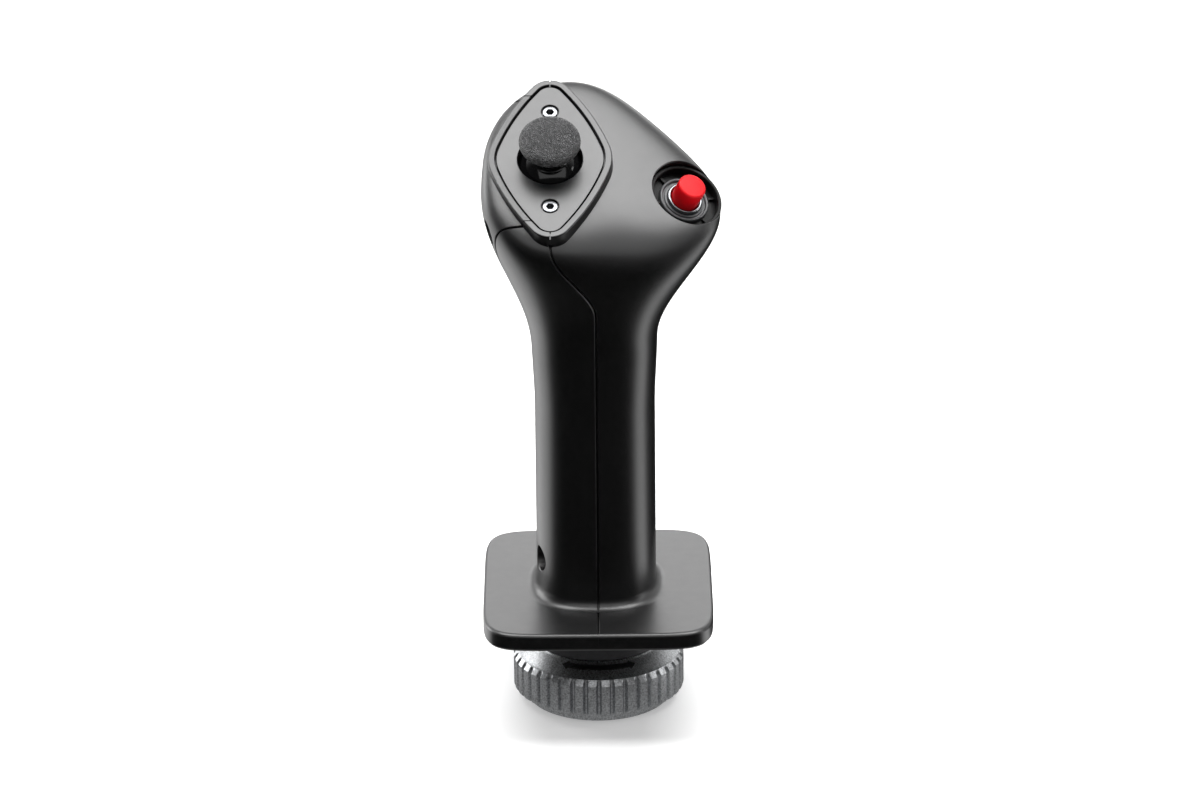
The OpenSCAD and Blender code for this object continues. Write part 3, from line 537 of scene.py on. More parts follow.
class Slot(Enum):
    """The record's material slots and the finish of each."""

    # Satin black ABS from a spark-eroded mould: a soft wide highlight with a fine sparkle.
    shell_plastic = Finish("black_abs_spark_eroded", "#0d0d0e", 0.35, grain=0.3, depth=0.006, ior=1.7, unevenness=0.03)
    # The same ABS from a coarser mould: greyer where light grazes it.
    panel_plastic = Finish("black_abs_coarse_grain", "#121213", 0.4, grain=0.4, depth=0.055, ior=1.7, unevenness=0.04)
    plate_plastic = Finish("dark_abs_satin", "#131314", 0.34, grain=0.25, depth=0.006, ior=1.7, unevenness=0.03)
    # Nitrile rubber with a leather grain, matt with bright creases. Its grey base is lighter than black rubber:
    # partly the rubber's own tone, partly painted sheen for the light its grain catches.
    cap_rubber = Pebbled(
        "nitrile_rubber_pebbled_painted_sheen", "#434344", 0.44, grain=0.5, depth=0.1, speckle=0.5, ior=1.52, unevenness=0.05
    )
    dome_plastic = Finish("black_polished_acetal", "#0b0b0c", 0.1, grain=2.0, depth=0.002, unevenness=0.03)
    button_red = Finish("red_satin_abs", "#d00613", 0.42, grain=1.5, depth=0.003, tone=0.04, ior=1.28)
    cup_plastic = Finish("black_abs_moulded_cup", "#060606", 0.45, grain=0.4, ior=1.3)
    collar_grey = Finish("grey_moulded_nylon", "#4a4b4d", 0.38, grain=0.3, depth=0.006)
    bushing_metal = Finish("nickel_plated_brass_dark", "#8b8d90", 0.25, grain=0.4, depth=0.003, **METAL)
    trigger_plastic = Finish("black_abs_trigger", "#2c2d30", 0.38, grain=0.3, depth=0.008)
    screw_steel = Finish("black_oxide_steel", "#8e9093", 0.3, grain=0.3, depth=0.004, **METAL)
    zinc_steel = Finish("zinc_plated_steel", "#a8abb0", 0.32, grain=0.8, depth=0.003, **METAL)
    spring_steel = Finish("spring_wire", "#b4b6b9", 0.25, grain=0.3, depth=0.002, **METAL)
    # Aluminium turned, blasted and clear anodised: light grey with a fine speckle and faint tool rings.
    ring_aluminium = Turned(
        "clear_anodised_aluminium", "#c6c8ca", 0.34, grain=0.3, depth=0.045, unevenness=0.1, speckle=0.3, **METAL
    )
    core_metal = Finish("black_painted_die_cast", "#26272a", 0.45, grain=0.3)
    nylon = Finish("natural_nylon", "#dcd8c9", 0.45, grain=0.5, depth=0.004)
    stem_metal = Finish("dark_steel_stem", "#77787b", 0.3, **METAL)
    black_nylon = Finish("glass_filled_nylon", "#18191b", 0.5, grain=0.25)
    red_plastic = Finish("red_moulded_plunger", "#b0402e", 0.4)
    sensor_blue = Finish("blue_sensor_case", "#23496b", 0.4)
    circuit_board = Finish("green_solder_mask", "#1a5230", 0.3, grain=1.2, depth=0.004)
    contact_brass = Finish("gold_flashed_brass", "#d2a548", 0.25, grain=0.5, depth=0.002, **METAL)
    ribbon_red = Finish("red_pvc_ribbon", "#8a1f1f", 0.45)
    ribbon_blue = Finish("blue_pvc_ribbon", "#2b4f9a", 0.45)


MARK_PAINT = Finish("black_printed_mark", "#0e0e0f", 0.5, grain=0.2, depth=0.001)


class Paintbox:
    """The built materials, one for each finish."""

    def __init__(self) -> None:
        """Start with no material built."""
        self.built: dict[str, bpy.types.Material] = {}

    def get(self, finish: Finish) -> bpy.types.Material:
        """The material of a finish, built when it is first asked for."""
        if finish.name not in self.built:
            self.built[finish.name] = finish.build()
        return self.built[finish.name]

    def dress(self, obj: Object, finish: Finish) -> None:
        """Give an object one material."""
        obj.data.materials.clear()
        obj.data.materials.append(self.get(finish))
        obj.data.polygons.foreach_set("material_index", np.zeros(len(obj.data.polygons), np.int32))


PAINT = Paintbox()


def deliver(
    obj: Object,
    body: str,
    slot: Slot,
    *nodes: str,
    angle: float | None = 32,
    flats: bool = False,
    finish: Finish | None = None,
) -> None:
    """Shade and dress a finished piece, let it ride on its body and stand for CAD nodes.

    Args:
        obj: the piece.
        body: the CAD body that it moves with.
        slot: the record's slot that it takes its finish from.
        nodes: the CAD nodes that it replaces.
        angle: the sharpest turn in degrees that is shaded smooth, or None to leave the shading.
        flats: whether to keep large flat faces flat next to fine edges.
        finish: another finish than the slot's own.
    """
    if angle is not None:
        smooth(obj, angle, flats)
    PAINT.dress(obj, finish or slot.value)
    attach(obj, body)
    if nodes:
        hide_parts(*nodes)
    LOG.info("%s: %d faces, rides on %s", obj.name, len(obj.data.polygons), body)


# ---------- the frame's own sizes ----------


def joint(name: str) -> dict:
    """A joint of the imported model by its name."""
    return next(j for j in frame["joints"] if j["name"] == name)


@dataclass
class Layout:
    """Places and frames that the pieces share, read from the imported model."""

    pivot_depth: float = 10.0
    button_rise: float = 3.0
    pivot_frame: Matrix = field(init=False)
    plate_frame: Matrix = field(init=False)
    button_frame: Matrix = field(init=False)

    def __post_init__(self) -> None:
        """Read the thumbstick's pivot, the plate's tilt and the button's axis."""
        tilt = joint("thumbstick_tilt_y")
        turn = Matrix.Rotation(math.atan2(tilt["axis"][2], tilt["axis"][1]), 4, "X")
        self.pivot_frame = Matrix.Translation(Vector(tilt["pos_m"]) / MM) @ turn
        self.plate_frame = self.pivot_frame @ Matrix.Translation((0, 0, self.pivot_depth))
        outward = -Vector(joint("button_press")["axis"]).normalized()
        turned = Matrix.Rotation(math.atan2(outward.y, outward.x), 4, "Z")
        lean = Matrix.Rotation(math.acos(outward.z), 4, "Y")
        self.button_frame = Matrix.Translation(self.pocket_centre(outward)) @ (turned @ lean)

    def pocket_centre(self, outward: Vector) -> Vector:
        """Middle of the pocket's mouth: the cap's top along the button's axis, less its rise."""
        points = np.array([v.co for v in frame["nodes"]["button_cap"].data.vertices]) / MM
        along = points @ np.array(outward)
        centre = Vector((points.min(0) + points.max(0)) / 2)
        return centre + outward * (along.max() - self.button_rise - centre.dot(outward))


LAYOUT = Layout()


# ---------- the grip's skin ----------


@dataclass
class Skin:
    """The smooth outer form: superellipse sections that swell into the head, cut by three soft planes."""

    column_w: float = 33.6
    column_d: float = 39.0
    column_shift: float = 0.4
    column_h: float = 74.0
    foot_r: float = 3.0
    flange_z: float = 34.0
    head_h: float = 53.0
    head_left: float = 31.6
    head_right: float = 37.6
    head_front: float = 36.5
    head_back: float = 28.0
    head_left_drop: float = 7.0
    swell: float = 0.9
    swell_z: tuple[float, float] = (-20, 4)
    left_z: tuple[float, float] = (-2, -9)
    left_drop_z: tuple[float, float] = (-3, 29)
    right_z: tuple[float, float] = (1, -11)
    front_z: tuple[float, float] = (0, -1)
    back_z: tuple[float, float] = (4, 11)
    seam_z: tuple[float, float] = (13, -18)
    power: float = 2.5
    power_z: tuple[float, float] = (2, -16)
    power_left: float = 0.2
    power_right: float = -0.3
    power_width: float = 8.0
    crown_k: float = 4.0
    brow_k: float = 9.0
    brow_y: tuple[float, float] = (4, 27)
    brow_x: tuple[float, float] = (-6, 22)
    brow_least: float = 0.35
    shoulder_k: float = 7.0
    back_k: float = 5.0
    far: float = 70.0
    plate_lift: float = 0.6
    shoulder_at: Place = (25, -1, -9)
    back_at: Place = (33, 6, -4.8)
    back_normal: Place = (0.669, 0.275, 0.691)

    def __post_init__(self) -> None:
        """Place the three planes that cut the head."""
        self.neck_z = self.flange_z + self.column_h
        self.plate_z = self.neck_z + self.head_h
        centre = LAYOUT.plate_frame.translation
        self.plate_x = centre.x
        self.plate_normal = along_z(LAYOUT.plate_frame)
        self.button_normal = along_z(LAYOUT.button_frame)
        middle = np.array([0, centre.y, self.plate_z])
        self.plate_point = middle + [centre.x, 0, self.plate_lift]
        self.shoulder_point = middle + self.shoulder_at
        self.back_point = middle + self.back_at

    def between(self, z: np.ndarray, span: tuple[float, float]) -> np.ndarray:
        """Smooth step from a height over the neck to a height over the plate's middle."""
        return rise(z, self.neck_z + span[0], self.plate_z + span[1])

    def reaches(self, z: np.ndarray) -> tuple[np.ndarray, np.ndarray, np.ndarray, np.ndarray]:
        """How far the sections reach to the left, right, front and back at a height."""
        half_w, half_d, shift = self.column_w / 2, self.column_d / 2, self.column_shift
        grow = self.swell * rise(z - self.neck_z, *self.swell_z)
        left = half_w + shift + grow
        left = left + (self.head_left - half_w - shift - self.swell) * self.between(z, self.left_z)
        left = left - self.head_left_drop * rise(z - self.plate_z, *self.left_drop_z)
        right = half_w - shift + grow
        right = right + (self.head_right - half_w + shift - self.swell) * self.between(z, self.right_z)
        front = half_d + (self.head_front - half_d) * self.between(z, self.front_z)
        back = half_d + (self.head_back - half_d) * self.between(z, self.back_z)
        return left, right, front, back

    def depth(self, p: np.ndarray) -> np.ndarray:
        """About the distance from the skin: negative inside, positive outside.

        The section's value is |p| (1 - 1/e) with e the superellipse's radius ratio, the foot's fillet is a
        quarter circle, and the planes join it by blend_max.
        """
        x, y, z = p[..., 0], p[..., 1], p[..., 2]
        left, right, front, back = self.reaches(z)
        mid = (right - left) / 2
        side = 0.5 + 0.5 * np.tanh((x - mid) / self.power_width)
        head_power = self.power_left + (self.power_right - self.power_left) * side
        power = self.power + self.between(z, self.power_z) * head_power
        dx, dy = np.abs(x - mid), np.abs(y - (back - front) / 2)
        e = ((2 * dx / (right + left)) ** power + (2 * dy / (front + back)) ** power) ** (1 / power)
        t = np.clip(1 - (z - self.flange_z) / self.foot_r, 0, 1)
        foot = self.foot_r * (1 - np.sqrt(1 - t * t))
        centre = 0.01
        body = np.where(e < centre, -self.far, np.hypot(dx, dy) * (1 - 1 / np.maximum(e, centre)) - foot)
        plate = (p - self.plate_point) @ self.plate_normal
        shoulder = (p - self.shoulder_point) @ self.button_normal
        behind = (p - self.back_point) @ np.array(self.back_normal)
        aside = self.brow_least + (1 - self.brow_least) * rise(x - self.plate_x, *self.brow_x)
        brow = rise(-y, *self.brow_y) * aside
        return blend_max(
            blend_max(body, behind, self.back_k),
            blend_max(plate, shoulder, self.shoulder_k),
            self.crown_k + self.brow_k * brow,
        )

    def march(self, start: np.ndarray, way: np.ndarray | Place, inset: float = 0.0) -> np.ndarray:
        """Points where rays leave the skin.

        Args:
            start: the rays' first points, inside.
            way: their unit directions, or the one that they share.
            inset: how far inside the skin the wanted surface lies.

        Returns:
            One point for each ray.
        """
        way = np.broadcast_to(way, start.shape)
        reach = last_inside(
            lambda r: self.depth(start + r[..., None] * way) + inset < 0, start.shape[:-1], self.far
        )
        return start + reach[..., None] * way

    def normal(self, p: np.ndarray) -> np.ndarray:
        """Outward direction of the skin, from differences of depth over 0.05 mm."""
        steps = np.eye(3) * 0.05
        slope = np.stack([self.depth(p + s) - self.depth(p - s) for s in steps], -1)
        return slope / np.linalg.norm(slope, axis=-1, keepdims=True)

    def groove(self, name: str, path: np.ndarray, profile: Sequence, closed: bool = False) -> Object:
        """Profile of across and up, carried along a path on the skin."""
        return sweep(name, path, self.normal(path), profile, closed)

    def solid(
        self, name: str, inset: float, z0: float, rays: int = 96, levels: tuple[int, int, int] = (4, 20, 60)
    ) -> Object:
        """Solid grip, pulled in by an inset.

        Rings of level rays climb the column, and in the head the rays tilt up from 0 to 90 degrees.

        Args:
            name: the object's name.
            inset: distance inside the skin.
            z0: height of its flat bottom.
            rays: points on a ring.
            levels: rings in the foot, in the column and in the head.

        Returns:
            The closed solid.
        """
        foot = self.flange_z + self.foot_r * (1 - np.cos(np.linspace(0, np.pi / 2, levels[0])))
        column = np.linspace(self.flange_z + self.foot_r, self.neck_z, levels[1] + 1)[1:]
        first = [z0] if z0 > self.flange_z else []
        level_rays = np.concatenate([first, foot[foot >= z0], column])
        s = np.linspace(0, 1, levels[2] + 1)[1:-1]
        heights = np.concatenate([level_rays, self.neck_z + 34 * s])
        lift = np.concatenate([0 * level_rays, np.radians(90 * s**1.6)])[:, None]
        drift = np.concatenate([0 * level_rays, -2 * s])
        a = 2 * np.pi * (np.arange(rays) + 0.5) / rays
        start = np.stack(np.broadcast_arrays(drift[:, None], 0.0, heights[:, None] + 0 * a), -1)
        way = np.stack([np.cos(lift) * np.cos(a), np.cos(lift) * np.sin(a), np.sin(lift) + 0 * a], -1)
        rings = self.march(start, way, inset)
        if z0 < self.flange_z:
            rings = np.concatenate([level(rings[0, :, :2], z0)[None], rings])
        return loft(name, rings, pole=True)

    def seam_x(self, z: np.ndarray) -> np.ndarray:
        """Line between the shells: straight up the column, then over to the plate's middle."""
        return self.plate_x * self.between(z, self.seam_z)


SKIN = Skin()


@dataclass
class Shells:
    """Left shell, right shell and side panel, cut from the one skin as the moulded parts are."""

    wall: float = 2.5
    seam_gap: float = 0.01
    panel_gap: float = 0.02
    slit: float = 0.36
    slit_depth: float = 1.3
    chamfer: float = 0.22
    rim_slit: float = 0.34
    panel_slit: float = 0.3
    flange_w: float = 64.0
    flange_d: float = 74.0
    flange_t: float = 6.7
    flange_r: float = 1.1
    flange_power: float = 7.0
    plate_w: float = 29.1
    plate_l: float = 50.8
    plate_tip_r: float = 3.7
    plate_corner_r: float = 11.8
    plate_side_r: float = 67.8
    rim_gap: float = 0.46
    rim_t: float = 1.9
    rim_r: float = 0.45
    plate_bottom: float = -2.8
    panel_half: float = 22.0
    panel_inner: float = -5.0
    panel_depth: float = 31.0
    panel_corner: float = 8.0
    pocket_r: float = 10.4
    pocket_floor: float = -6.2
    pocket_ledge: float = 2.2
    stick_room: float = 9.5
    core_room_r: float = 17.75
    clamp_room_r: float = 22.1
    clamp_room_z: tuple[float, float] = (29.1, 31.7)
    cable_room_r: float = 11.0
    recess_r: float = 3.5
    boss_wall: float = 1.5
    post_r: float = 3.3
    post_gap: float = 0.2
    seat_x: float = -11.0
    panel_seat_x: float = -24.0
    screw_r: float = 1.55
    slot_half: float = 5.5
    slot_y: float = 13.5
    slot_low: float = 27.5
    slot_high: float = 1.2
    post_y: tuple[float, float] = (14.8, 16.6)
    outside: float = -40.0
    hollow_z: float = 37.5
    column_screws: tuple = ((-9, 45), (7, 104))
    panel_screw: tuple = (-12, 143)

    def build(self) -> None:
        """Cut the three pieces and deliver them."""
        right = self.whole()
        left = duplicate(right, "grip_left_shell")
        combine(left, Cut.KEEP_COMMON, [self.half_space(-1)])
        panel = duplicate(left, "grip_side_panel")
        combine(left, Cut.TAKE_AWAY, [self.panel_space(self.panel_gap / 2), self.posts(self.post_gap)])
        combine(panel, Cut.KEEP_COMMON, [self.panel_space(-self.panel_gap / 2)])
        y, z = self.panel_screw
        boss_r = self.recess_r + self.boss_wall
        boss = rod("panel_boss", (-32, y, z), (self.panel_seat_x + 2, y, z), boss_r)
        combine(boss, Cut.KEEP_COMMON, [SKIN.solid("panel_boss_limit", 0.3, SKIN.flange_z)])
        combine(panel, Cut.JOIN, [boss])
        combine(panel, Cut.TAKE_AWAY, [*self.recess(self.panel_screw, self.panel_seat_x), self.posts(self.post_gap)])
        right.name = "grip_right_shell"
        combine(right, Cut.KEEP_COMMON, [self.half_space(1)])
        posts = combine(self.posts(0), Cut.KEEP_COMMON, [SKIN.solid("post_limit", 1.2, SKIN.flange_z)])
        combine(right, Cut.JOIN, [posts])
        for obj, slot, node in (
            (left, Slot.shell_plastic, "left_shell"),
            (right, Slot.shell_plastic, "right_shell"),
            (panel, Slot.panel_plastic, "side_panel"),
        ):
            drop_crumbs(obj)
            deliver(obj, "grip", slot, node, flats=True)

    def whole(self) -> Object:
        """Hollow grip with its pockets and chamfered seams, before it is split."""
        grip = SKIN.solid("grip_whole", 0, 31, 300, (12, 50, 200))
        combine(grip, Cut.JOIN, [self.pedestal(), self.flange()])
        hollow = SKIN.solid("hollow", self.wall, self.hollow_z, 96, (4, 24, 60))
        combine(hollow, Cut.TAKE_AWAY, self.bosses())
        return combine(grip, Cut.TAKE_AWAY, [hollow, *self.pockets(), *self.grooves()])

    def outline(self, margin: float) -> np.ndarray:
        """The thumb plate's outline, grown by a margin.

        In each quarter an arc at the corner runs into a large one along the side, and that one into an arc at
        the tip. The side's centre lies where circles of the differences of their radii meet.
        """
        corner = np.array([self.plate_w / 2 - self.plate_corner_r, 0])
        tip = np.array([0, self.plate_l / 2 - self.plate_tip_r])
        to_corner = self.plate_side_r - self.plate_corner_r
        to_tip = self.plate_side_r - self.plate_tip_r
        reach = np.linalg.norm(tip - corner)
        u = (tip - corner) / reach
        along = (to_corner**2 - to_tip**2 + reach**2) / (2 * reach)
        across = math.sqrt(to_corner**2 - along**2)
        side = corner + along * u + across * np.array([-u[1], u[0]])
        first, second = (math.degrees(math.atan2(*(end - side)[::-1])) for end in (corner, tip))
        quarter = np.concatenate(
            [
                arc(corner, self.plate_corner_r + margin, first / 24, first, 12)[:-1],
                arc(side, self.plate_side_r + margin, first, second, 30),
                arc(tip, self.plate_tip_r + margin, second, 90 - (90 - second) / 32, 16)[1:],
            ]
        )
        mirror = quarter[::-1] * [-1, 1]
        return np.concatenate([quarter, mirror, -quarter, -mirror])

    def diamond(self, name: str, levels: Sequence[tuple[float, float]]) -> Object:
        """Diamond with round tips, in the thumb plate's frame.

        Args:
            name: the object's name.
            levels: heights, each with the margin by which the plate's outline is grown.

        Returns:
            The solid.
        """
        return loft(name, [level(self.outline(margin), z) for z, margin in levels], LAYOUT.plate_frame)

    def pedestal(self) -> Object:
        """Raised rim around the plate, with its outer edge rounded by a quarter circle."""
        out, r = self.rim_gap + self.rim_t, self.rim_r
        edge = [(-r + r * math.sin(a), out - r * (1 - math.cos(a))) for a in np.radians([0, 22, 45, 68, 90])]
        return self.diamond("rim", [(-14, out - 4), (-4, out + 0.2), *edge])

    def flange(self) -> Object:
        """Plate under the hand: a superellipse with a rolled top edge and a drawn-in underside."""
        low, top, r = SKIN.flange_z - self.flange_t, SKIN.flange_z, self.flange_r
        half = self.flange_w / 2
        turns = np.radians(range(0, 91, 15))
        rolled = [(top - r + r * math.sin(a), 1 - r * (1 - math.cos(a)) / half) for a in turns]
        levels = [(low, 0.55), (low + 0.5, 0.75), (low + 1.2, 0.93), (low + 1.8, 0.985), (low + 2.5, 1), *rolled]
        ring = superellipse(256, half, self.flange_d / 2, self.flange_power)
        return loft("flange", [level(ring * scale, z) for z, scale in levels])

    def bosses(self) -> list[Object]:
        """What stands into the hollow: screw bosses, the floor under the plate and the pocket's sleeve."""
        made = []
        for y, z in self.column_screws:
            made.append(rod("boss", (-30, y, z), (self.seat_x + 2, y, z), self.recess_r + self.boss_wall))
            made.append(rod("pillar", (-30, y, z), (30, y, z), self.recess_r))
        margin = self.rim_gap + 1.5
        made.append(self.diamond("plate_floor", [(self.plate_bottom - 1.2, margin), (5, margin)]))
        floor, r = self.pocket_floor - 1.6, self.pocket_r + 1.6
        made.append(lathe("sleeve", [[0, floor], [r, floor], [r, 14], [0, 14]], LAYOUT.button_frame, 64))
        return made

    def pockets(self) -> list[Object]:
        """The plate's pocket, the stick's opening, the button's pocket, the trigger's slot and the recesses."""
        gap, half = self.rim_gap, self.stick_room
        flare = [(self.plate_bottom, gap), (-0.28, gap), (-0.12, gap + 0.05), (0, gap + 0.2), (6, gap + 6)]
        r, floor = self.pocket_r, self.pocket_floor
        ledge = r - self.pocket_ledge
        pocket = [[0, floor - 2], [ledge, floor - 2], [ledge, floor], [r, floor], [r, 24], [0, 24]]
        pin_z = Vector(joint("trigger_pull")["pos_m"]).z / MM
        slot, (low, high) = self.slot_half, self.clamp_room_z
        made = [
            self.diamond("plate_pocket", flare),
            box("stick_opening", (-half, -half, -9), (half, half, 0), LAYOUT.plate_frame),
            lathe("button_pocket", pocket, LAYOUT.button_frame, 192),
            box("trigger_slot", (-slot, self.slot_y, pin_z - self.slot_low), (slot, 60, pin_z + self.slot_high)),
            rod("core_room", (0, 0, 20), (0, 0, 32), self.core_room_r, 128),
            rod("clamp_room", (0, 0, low), (0, 0, high), self.clamp_room_r, 128),
            rod("cable_room", (0, 0, low), (0, 0, 42), self.cable_room_r, 64),
        ]
        for screw in self.column_screws:
            made += self.recess(screw, self.seat_x)
        return made

    def recess(self, screw: tuple[float, float], seat: float) -> list[Object]:
        """Round recess for a screw's head, with the hole for its shank.

        Args:
            screw: Y and Z of the screw, which runs along X.
            seat: X of the seat of its head.

        Returns:
            The two rods to cut away.
        """
        y, z = screw
        return [
            rod("recess", (self.outside, y, z), (seat, y, z), self.recess_r, 96),
            rod("shank_hole", (self.outside, y, z), (seat + 20, y, z), self.screw_r, 32),
        ]

    def grooves(self) -> list[Object]:
        """V-shaped cuts that chamfer the edges along the seams, the pocket's mouth and the recesses."""
        c, w, out = self.chamfer, self.slit / 2, 0.6
        top, deep = c + w + out, self.slit_depth
        vee = [[-top, out], [-w, -c], [-w, -deep], [w, -deep], [w, -c], [top, out]]
        made = [SKIN.groove("seam_groove", self.seam_path(), vee)]
        run_y = np.linspace(SKIN.column_d / 2 + 2.6, self.flange_d / 2 - self.flange_r, 3)
        for side in (-1, 1):
            run = np.stack([0 * run_y, run_y * side, 0 * run_y + SKIN.flange_z], 1)
            made.append(sweep("flange_groove", run, np.tile([0.0, 0, 1], (3, 1)), vee))
        made.append(SKIN.groove("panel_groove", self.panel_path(), vee))
        made += self.rim_splits()
        lip = [[-0.9, 0.75], [0.0, -0.3], [0.9, 0.75]]
        made.append(SKIN.groove("mouth_groove", self.mouth_path(), lip, closed=True))
        edge = [[-0.8, 0.6], [0, -0.2], [0.8, 0.6]]
        for y, z in (*self.column_screws, self.panel_screw):
            ring = np.roll(circle(64, self.recess_r, -12.0), 1, axis=1)
            ring = SKIN.march(ring + [0, y, z], (-1.0, 0, 0))
            made.append(SKIN.groove("recess_groove", ring, edge, closed=True))
        return made

    def rim_splits(self) -> list[Object]:
        """Slits across the rim: at both tips between the shells, and at the left between shell and panel."""
        made = []
        inner, outer = self.plate_l / 2 - 0.4, self.plate_l / 2 + self.rim_gap + self.rim_t + 1
        across, half = self.rim_slit / 2, self.panel_slit / 2
        for side in (-1, 1):
            low, high = sorted((side * inner, side * outer))
            y = side * self.panel_half
            made.append(box("tip_slit", (-across, low, -0.9), (across, high, 1), LAYOUT.plate_frame))
            made.append(box("panel_slit", (-9.5, y - half, -0.9), (-2.6, y + half, 1), LAYOUT.plate_frame))
        return made

    def seam_path(self) -> np.ndarray:
        """The seam on the skin: up the front, over the crown and down the back.

        On the column the rays run level, and from the head's middle they turn from the front over the top to
        the back, always in the seam's own curved sheet x = seam_x(z).
        """
        top = SKIN.plate_z - 14
        rows = np.linspace(SKIN.flange_z + 0.2, top, 160)
        turns = np.radians(np.linspace(-90, 90, 140)[1:-1])
        start = np.stack([SKIN.seam_x(rows), 0 * rows, rows], 1)
        front, back = (SKIN.march(start, (0.0, side, 0)) for side in (-1, 1))

        def crown(r: np.ndarray) -> np.ndarray:
            """Points of the sheet at distances r from its middle, one for each turn."""
            z = top + r * np.cos(turns)
            return np.stack([SKIN.seam_x(z), r * np.sin(turns), z], 1)

        over = crown(last_inside(lambda r: SKIN.depth(crown(r)) < 0, turns.shape, SKIN.far))
        return np.concatenate([front, over, back[::-1]])

    def panel_corners(self, r: float) -> tuple[np.ndarray, np.ndarray]:
        """Arcs at the panel's two left corners, with a radius about the corners' own centres."""
        inner = self.panel_corner
        x, y = -self.panel_depth + inner, self.panel_half - inner
        return arc((x, -y), r, 270, 180, 16), arc((x, y), r, 180, 90, 16)

    def panel_path(self) -> np.ndarray:
        """The panel's outline on the skin, from under the rim at the front round to the back."""
        r, depth, half = self.panel_corner, self.panel_depth, self.panel_half
        lower, upper = self.panel_corners(r)
        run = np.linspace(-0.6, -depth + r, 60)[:-1]
        rows = np.linspace(-(half - r), half - r, 70)[1:-1]
        front = np.column_stack([run, 0 * run - half])
        base = np.column_stack([0 * rows - depth, rows])
        outline = np.concatenate([front, lower, base, upper, front[::-1] * [1, -1]])
        local = np.column_stack([np.full(len(outline), self.panel_inner), outline[:, ::-1]])
        return SKIN.march(place(local, LAYOUT.plate_frame), (-1.0, 0, 0))

    def mouth_path(self) -> np.ndarray:
        """The edge where the button's pocket meets the skin."""
        ring = circle(160, self.pocket_r, self.pocket_floor)
        return SKIN.march(place(ring, LAYOUT.button_frame), along_z(LAYOUT.button_frame))

    def half_space(self, side: int) -> Object:
        """Everything on one side of the seam's sheet, less half the gap.

        Args:
            side: -1 for the left and 1 for the right.

        Returns:
            The solid.
        """
        far = 100.0
        z = np.concatenate([[0], np.linspace(SKIN.neck_z + 10, SKIN.plate_z - 14, 60), [SKIN.plate_z + 40]])
        line = np.stack([SKIN.seam_x(z) + side * self.seam_gap / 2, z], 1)
        x, up = np.concatenate([line, [[side * far, z[-1]], [side * far, 0]]]).T
        return loft("half_space", [np.stack([x, 0 * x + y, up], 1) for y in (-far, far)])

    def panel_space(self, margin: float) -> Object:
        """Room of the side panel: its rounded outline carried out to the left.

        Args:
            margin: how much larger than the panel it is all round.

        Returns:
            The solid.
        """
        edge = self.panel_half + margin
        corners = self.panel_corners(self.panel_corner + margin)
        outline = np.concatenate([[[6, -edge]], *corners, [[6, edge]]])
        ends = (self.panel_inner + margin, -100.0)
        rings = [np.column_stack([np.full(len(outline), x), outline[:, ::-1]]) for x in ends]
        return loft("panel_space", rings, LAYOUT.plate_frame)

    def posts(self, margin: float) -> Object:
        """Posts for the plate's screws, with round ends along Y, and for the panel's screw.

        Args:
            margin: how much larger than the posts they are, for the room that is cut for them.

        Returns:
            The posts as one object.
        """
        r = self.post_r + margin
        made = []
        for side in (-1, 1):
            low, high = sorted(side * y for y in self.post_y)
            ring = np.concatenate([arc((0, high), r, 0, 180, 24), arc((0, low), r, 180, 360, 24)])
            ends = (-16.0, self.plate_bottom + margin)
            made.append(loft("post", [level(ring, z) for z in ends], LAYOUT.plate_frame))
        y, z = self.panel_screw
        made.append(rod("panel_post", (self.panel_seat_x + 2.2, y, z), (SKIN.plate_x, y, z), r))
        return combine(made[0], Cut.JOIN, made[1:])


SHELLS = Shells()


# ---------- thumb plate and thumbstick ----------


def hex_screw(name: str, head_r: float, head_t: float, shank_r: float, length: float, where: Matrix) -> Object:
    """Cap screw along -Z with a chamfered head and a hex socket.

    Args:
        name: the object's name.
        head_r: radius of the head.
        head_t: height of the head above its seat.
        shank_r: radius of the shank.
        length: length of the shank.
        where: the frame of the seat.

    Returns:
        The screw.
    """
    e, point = head_r * 0.12, 0.3
    shank = [[0, -length], [shank_r - point, -length], [shank_r, point - length], [shank_r, 0]]
    head = [[head_r, 0], [head_r, head_t - e], [head_r - e * 0.3, head_t - e * 0.3], [head_r - e, head_t], [0, head_t]]
    across = head_r * 0.56
    walls = ((1, -0.35 * length), (1, head_t - 0.08), (1.1, head_t + 0.02), (1.1, head_t + 1))
    socket = loft("socket", [circle(6, across * wider, z) for wider, z in walls], where)
    return combine(lathe(name, shank + head, where, 96), Cut.TAKE_AWAY, [socket])


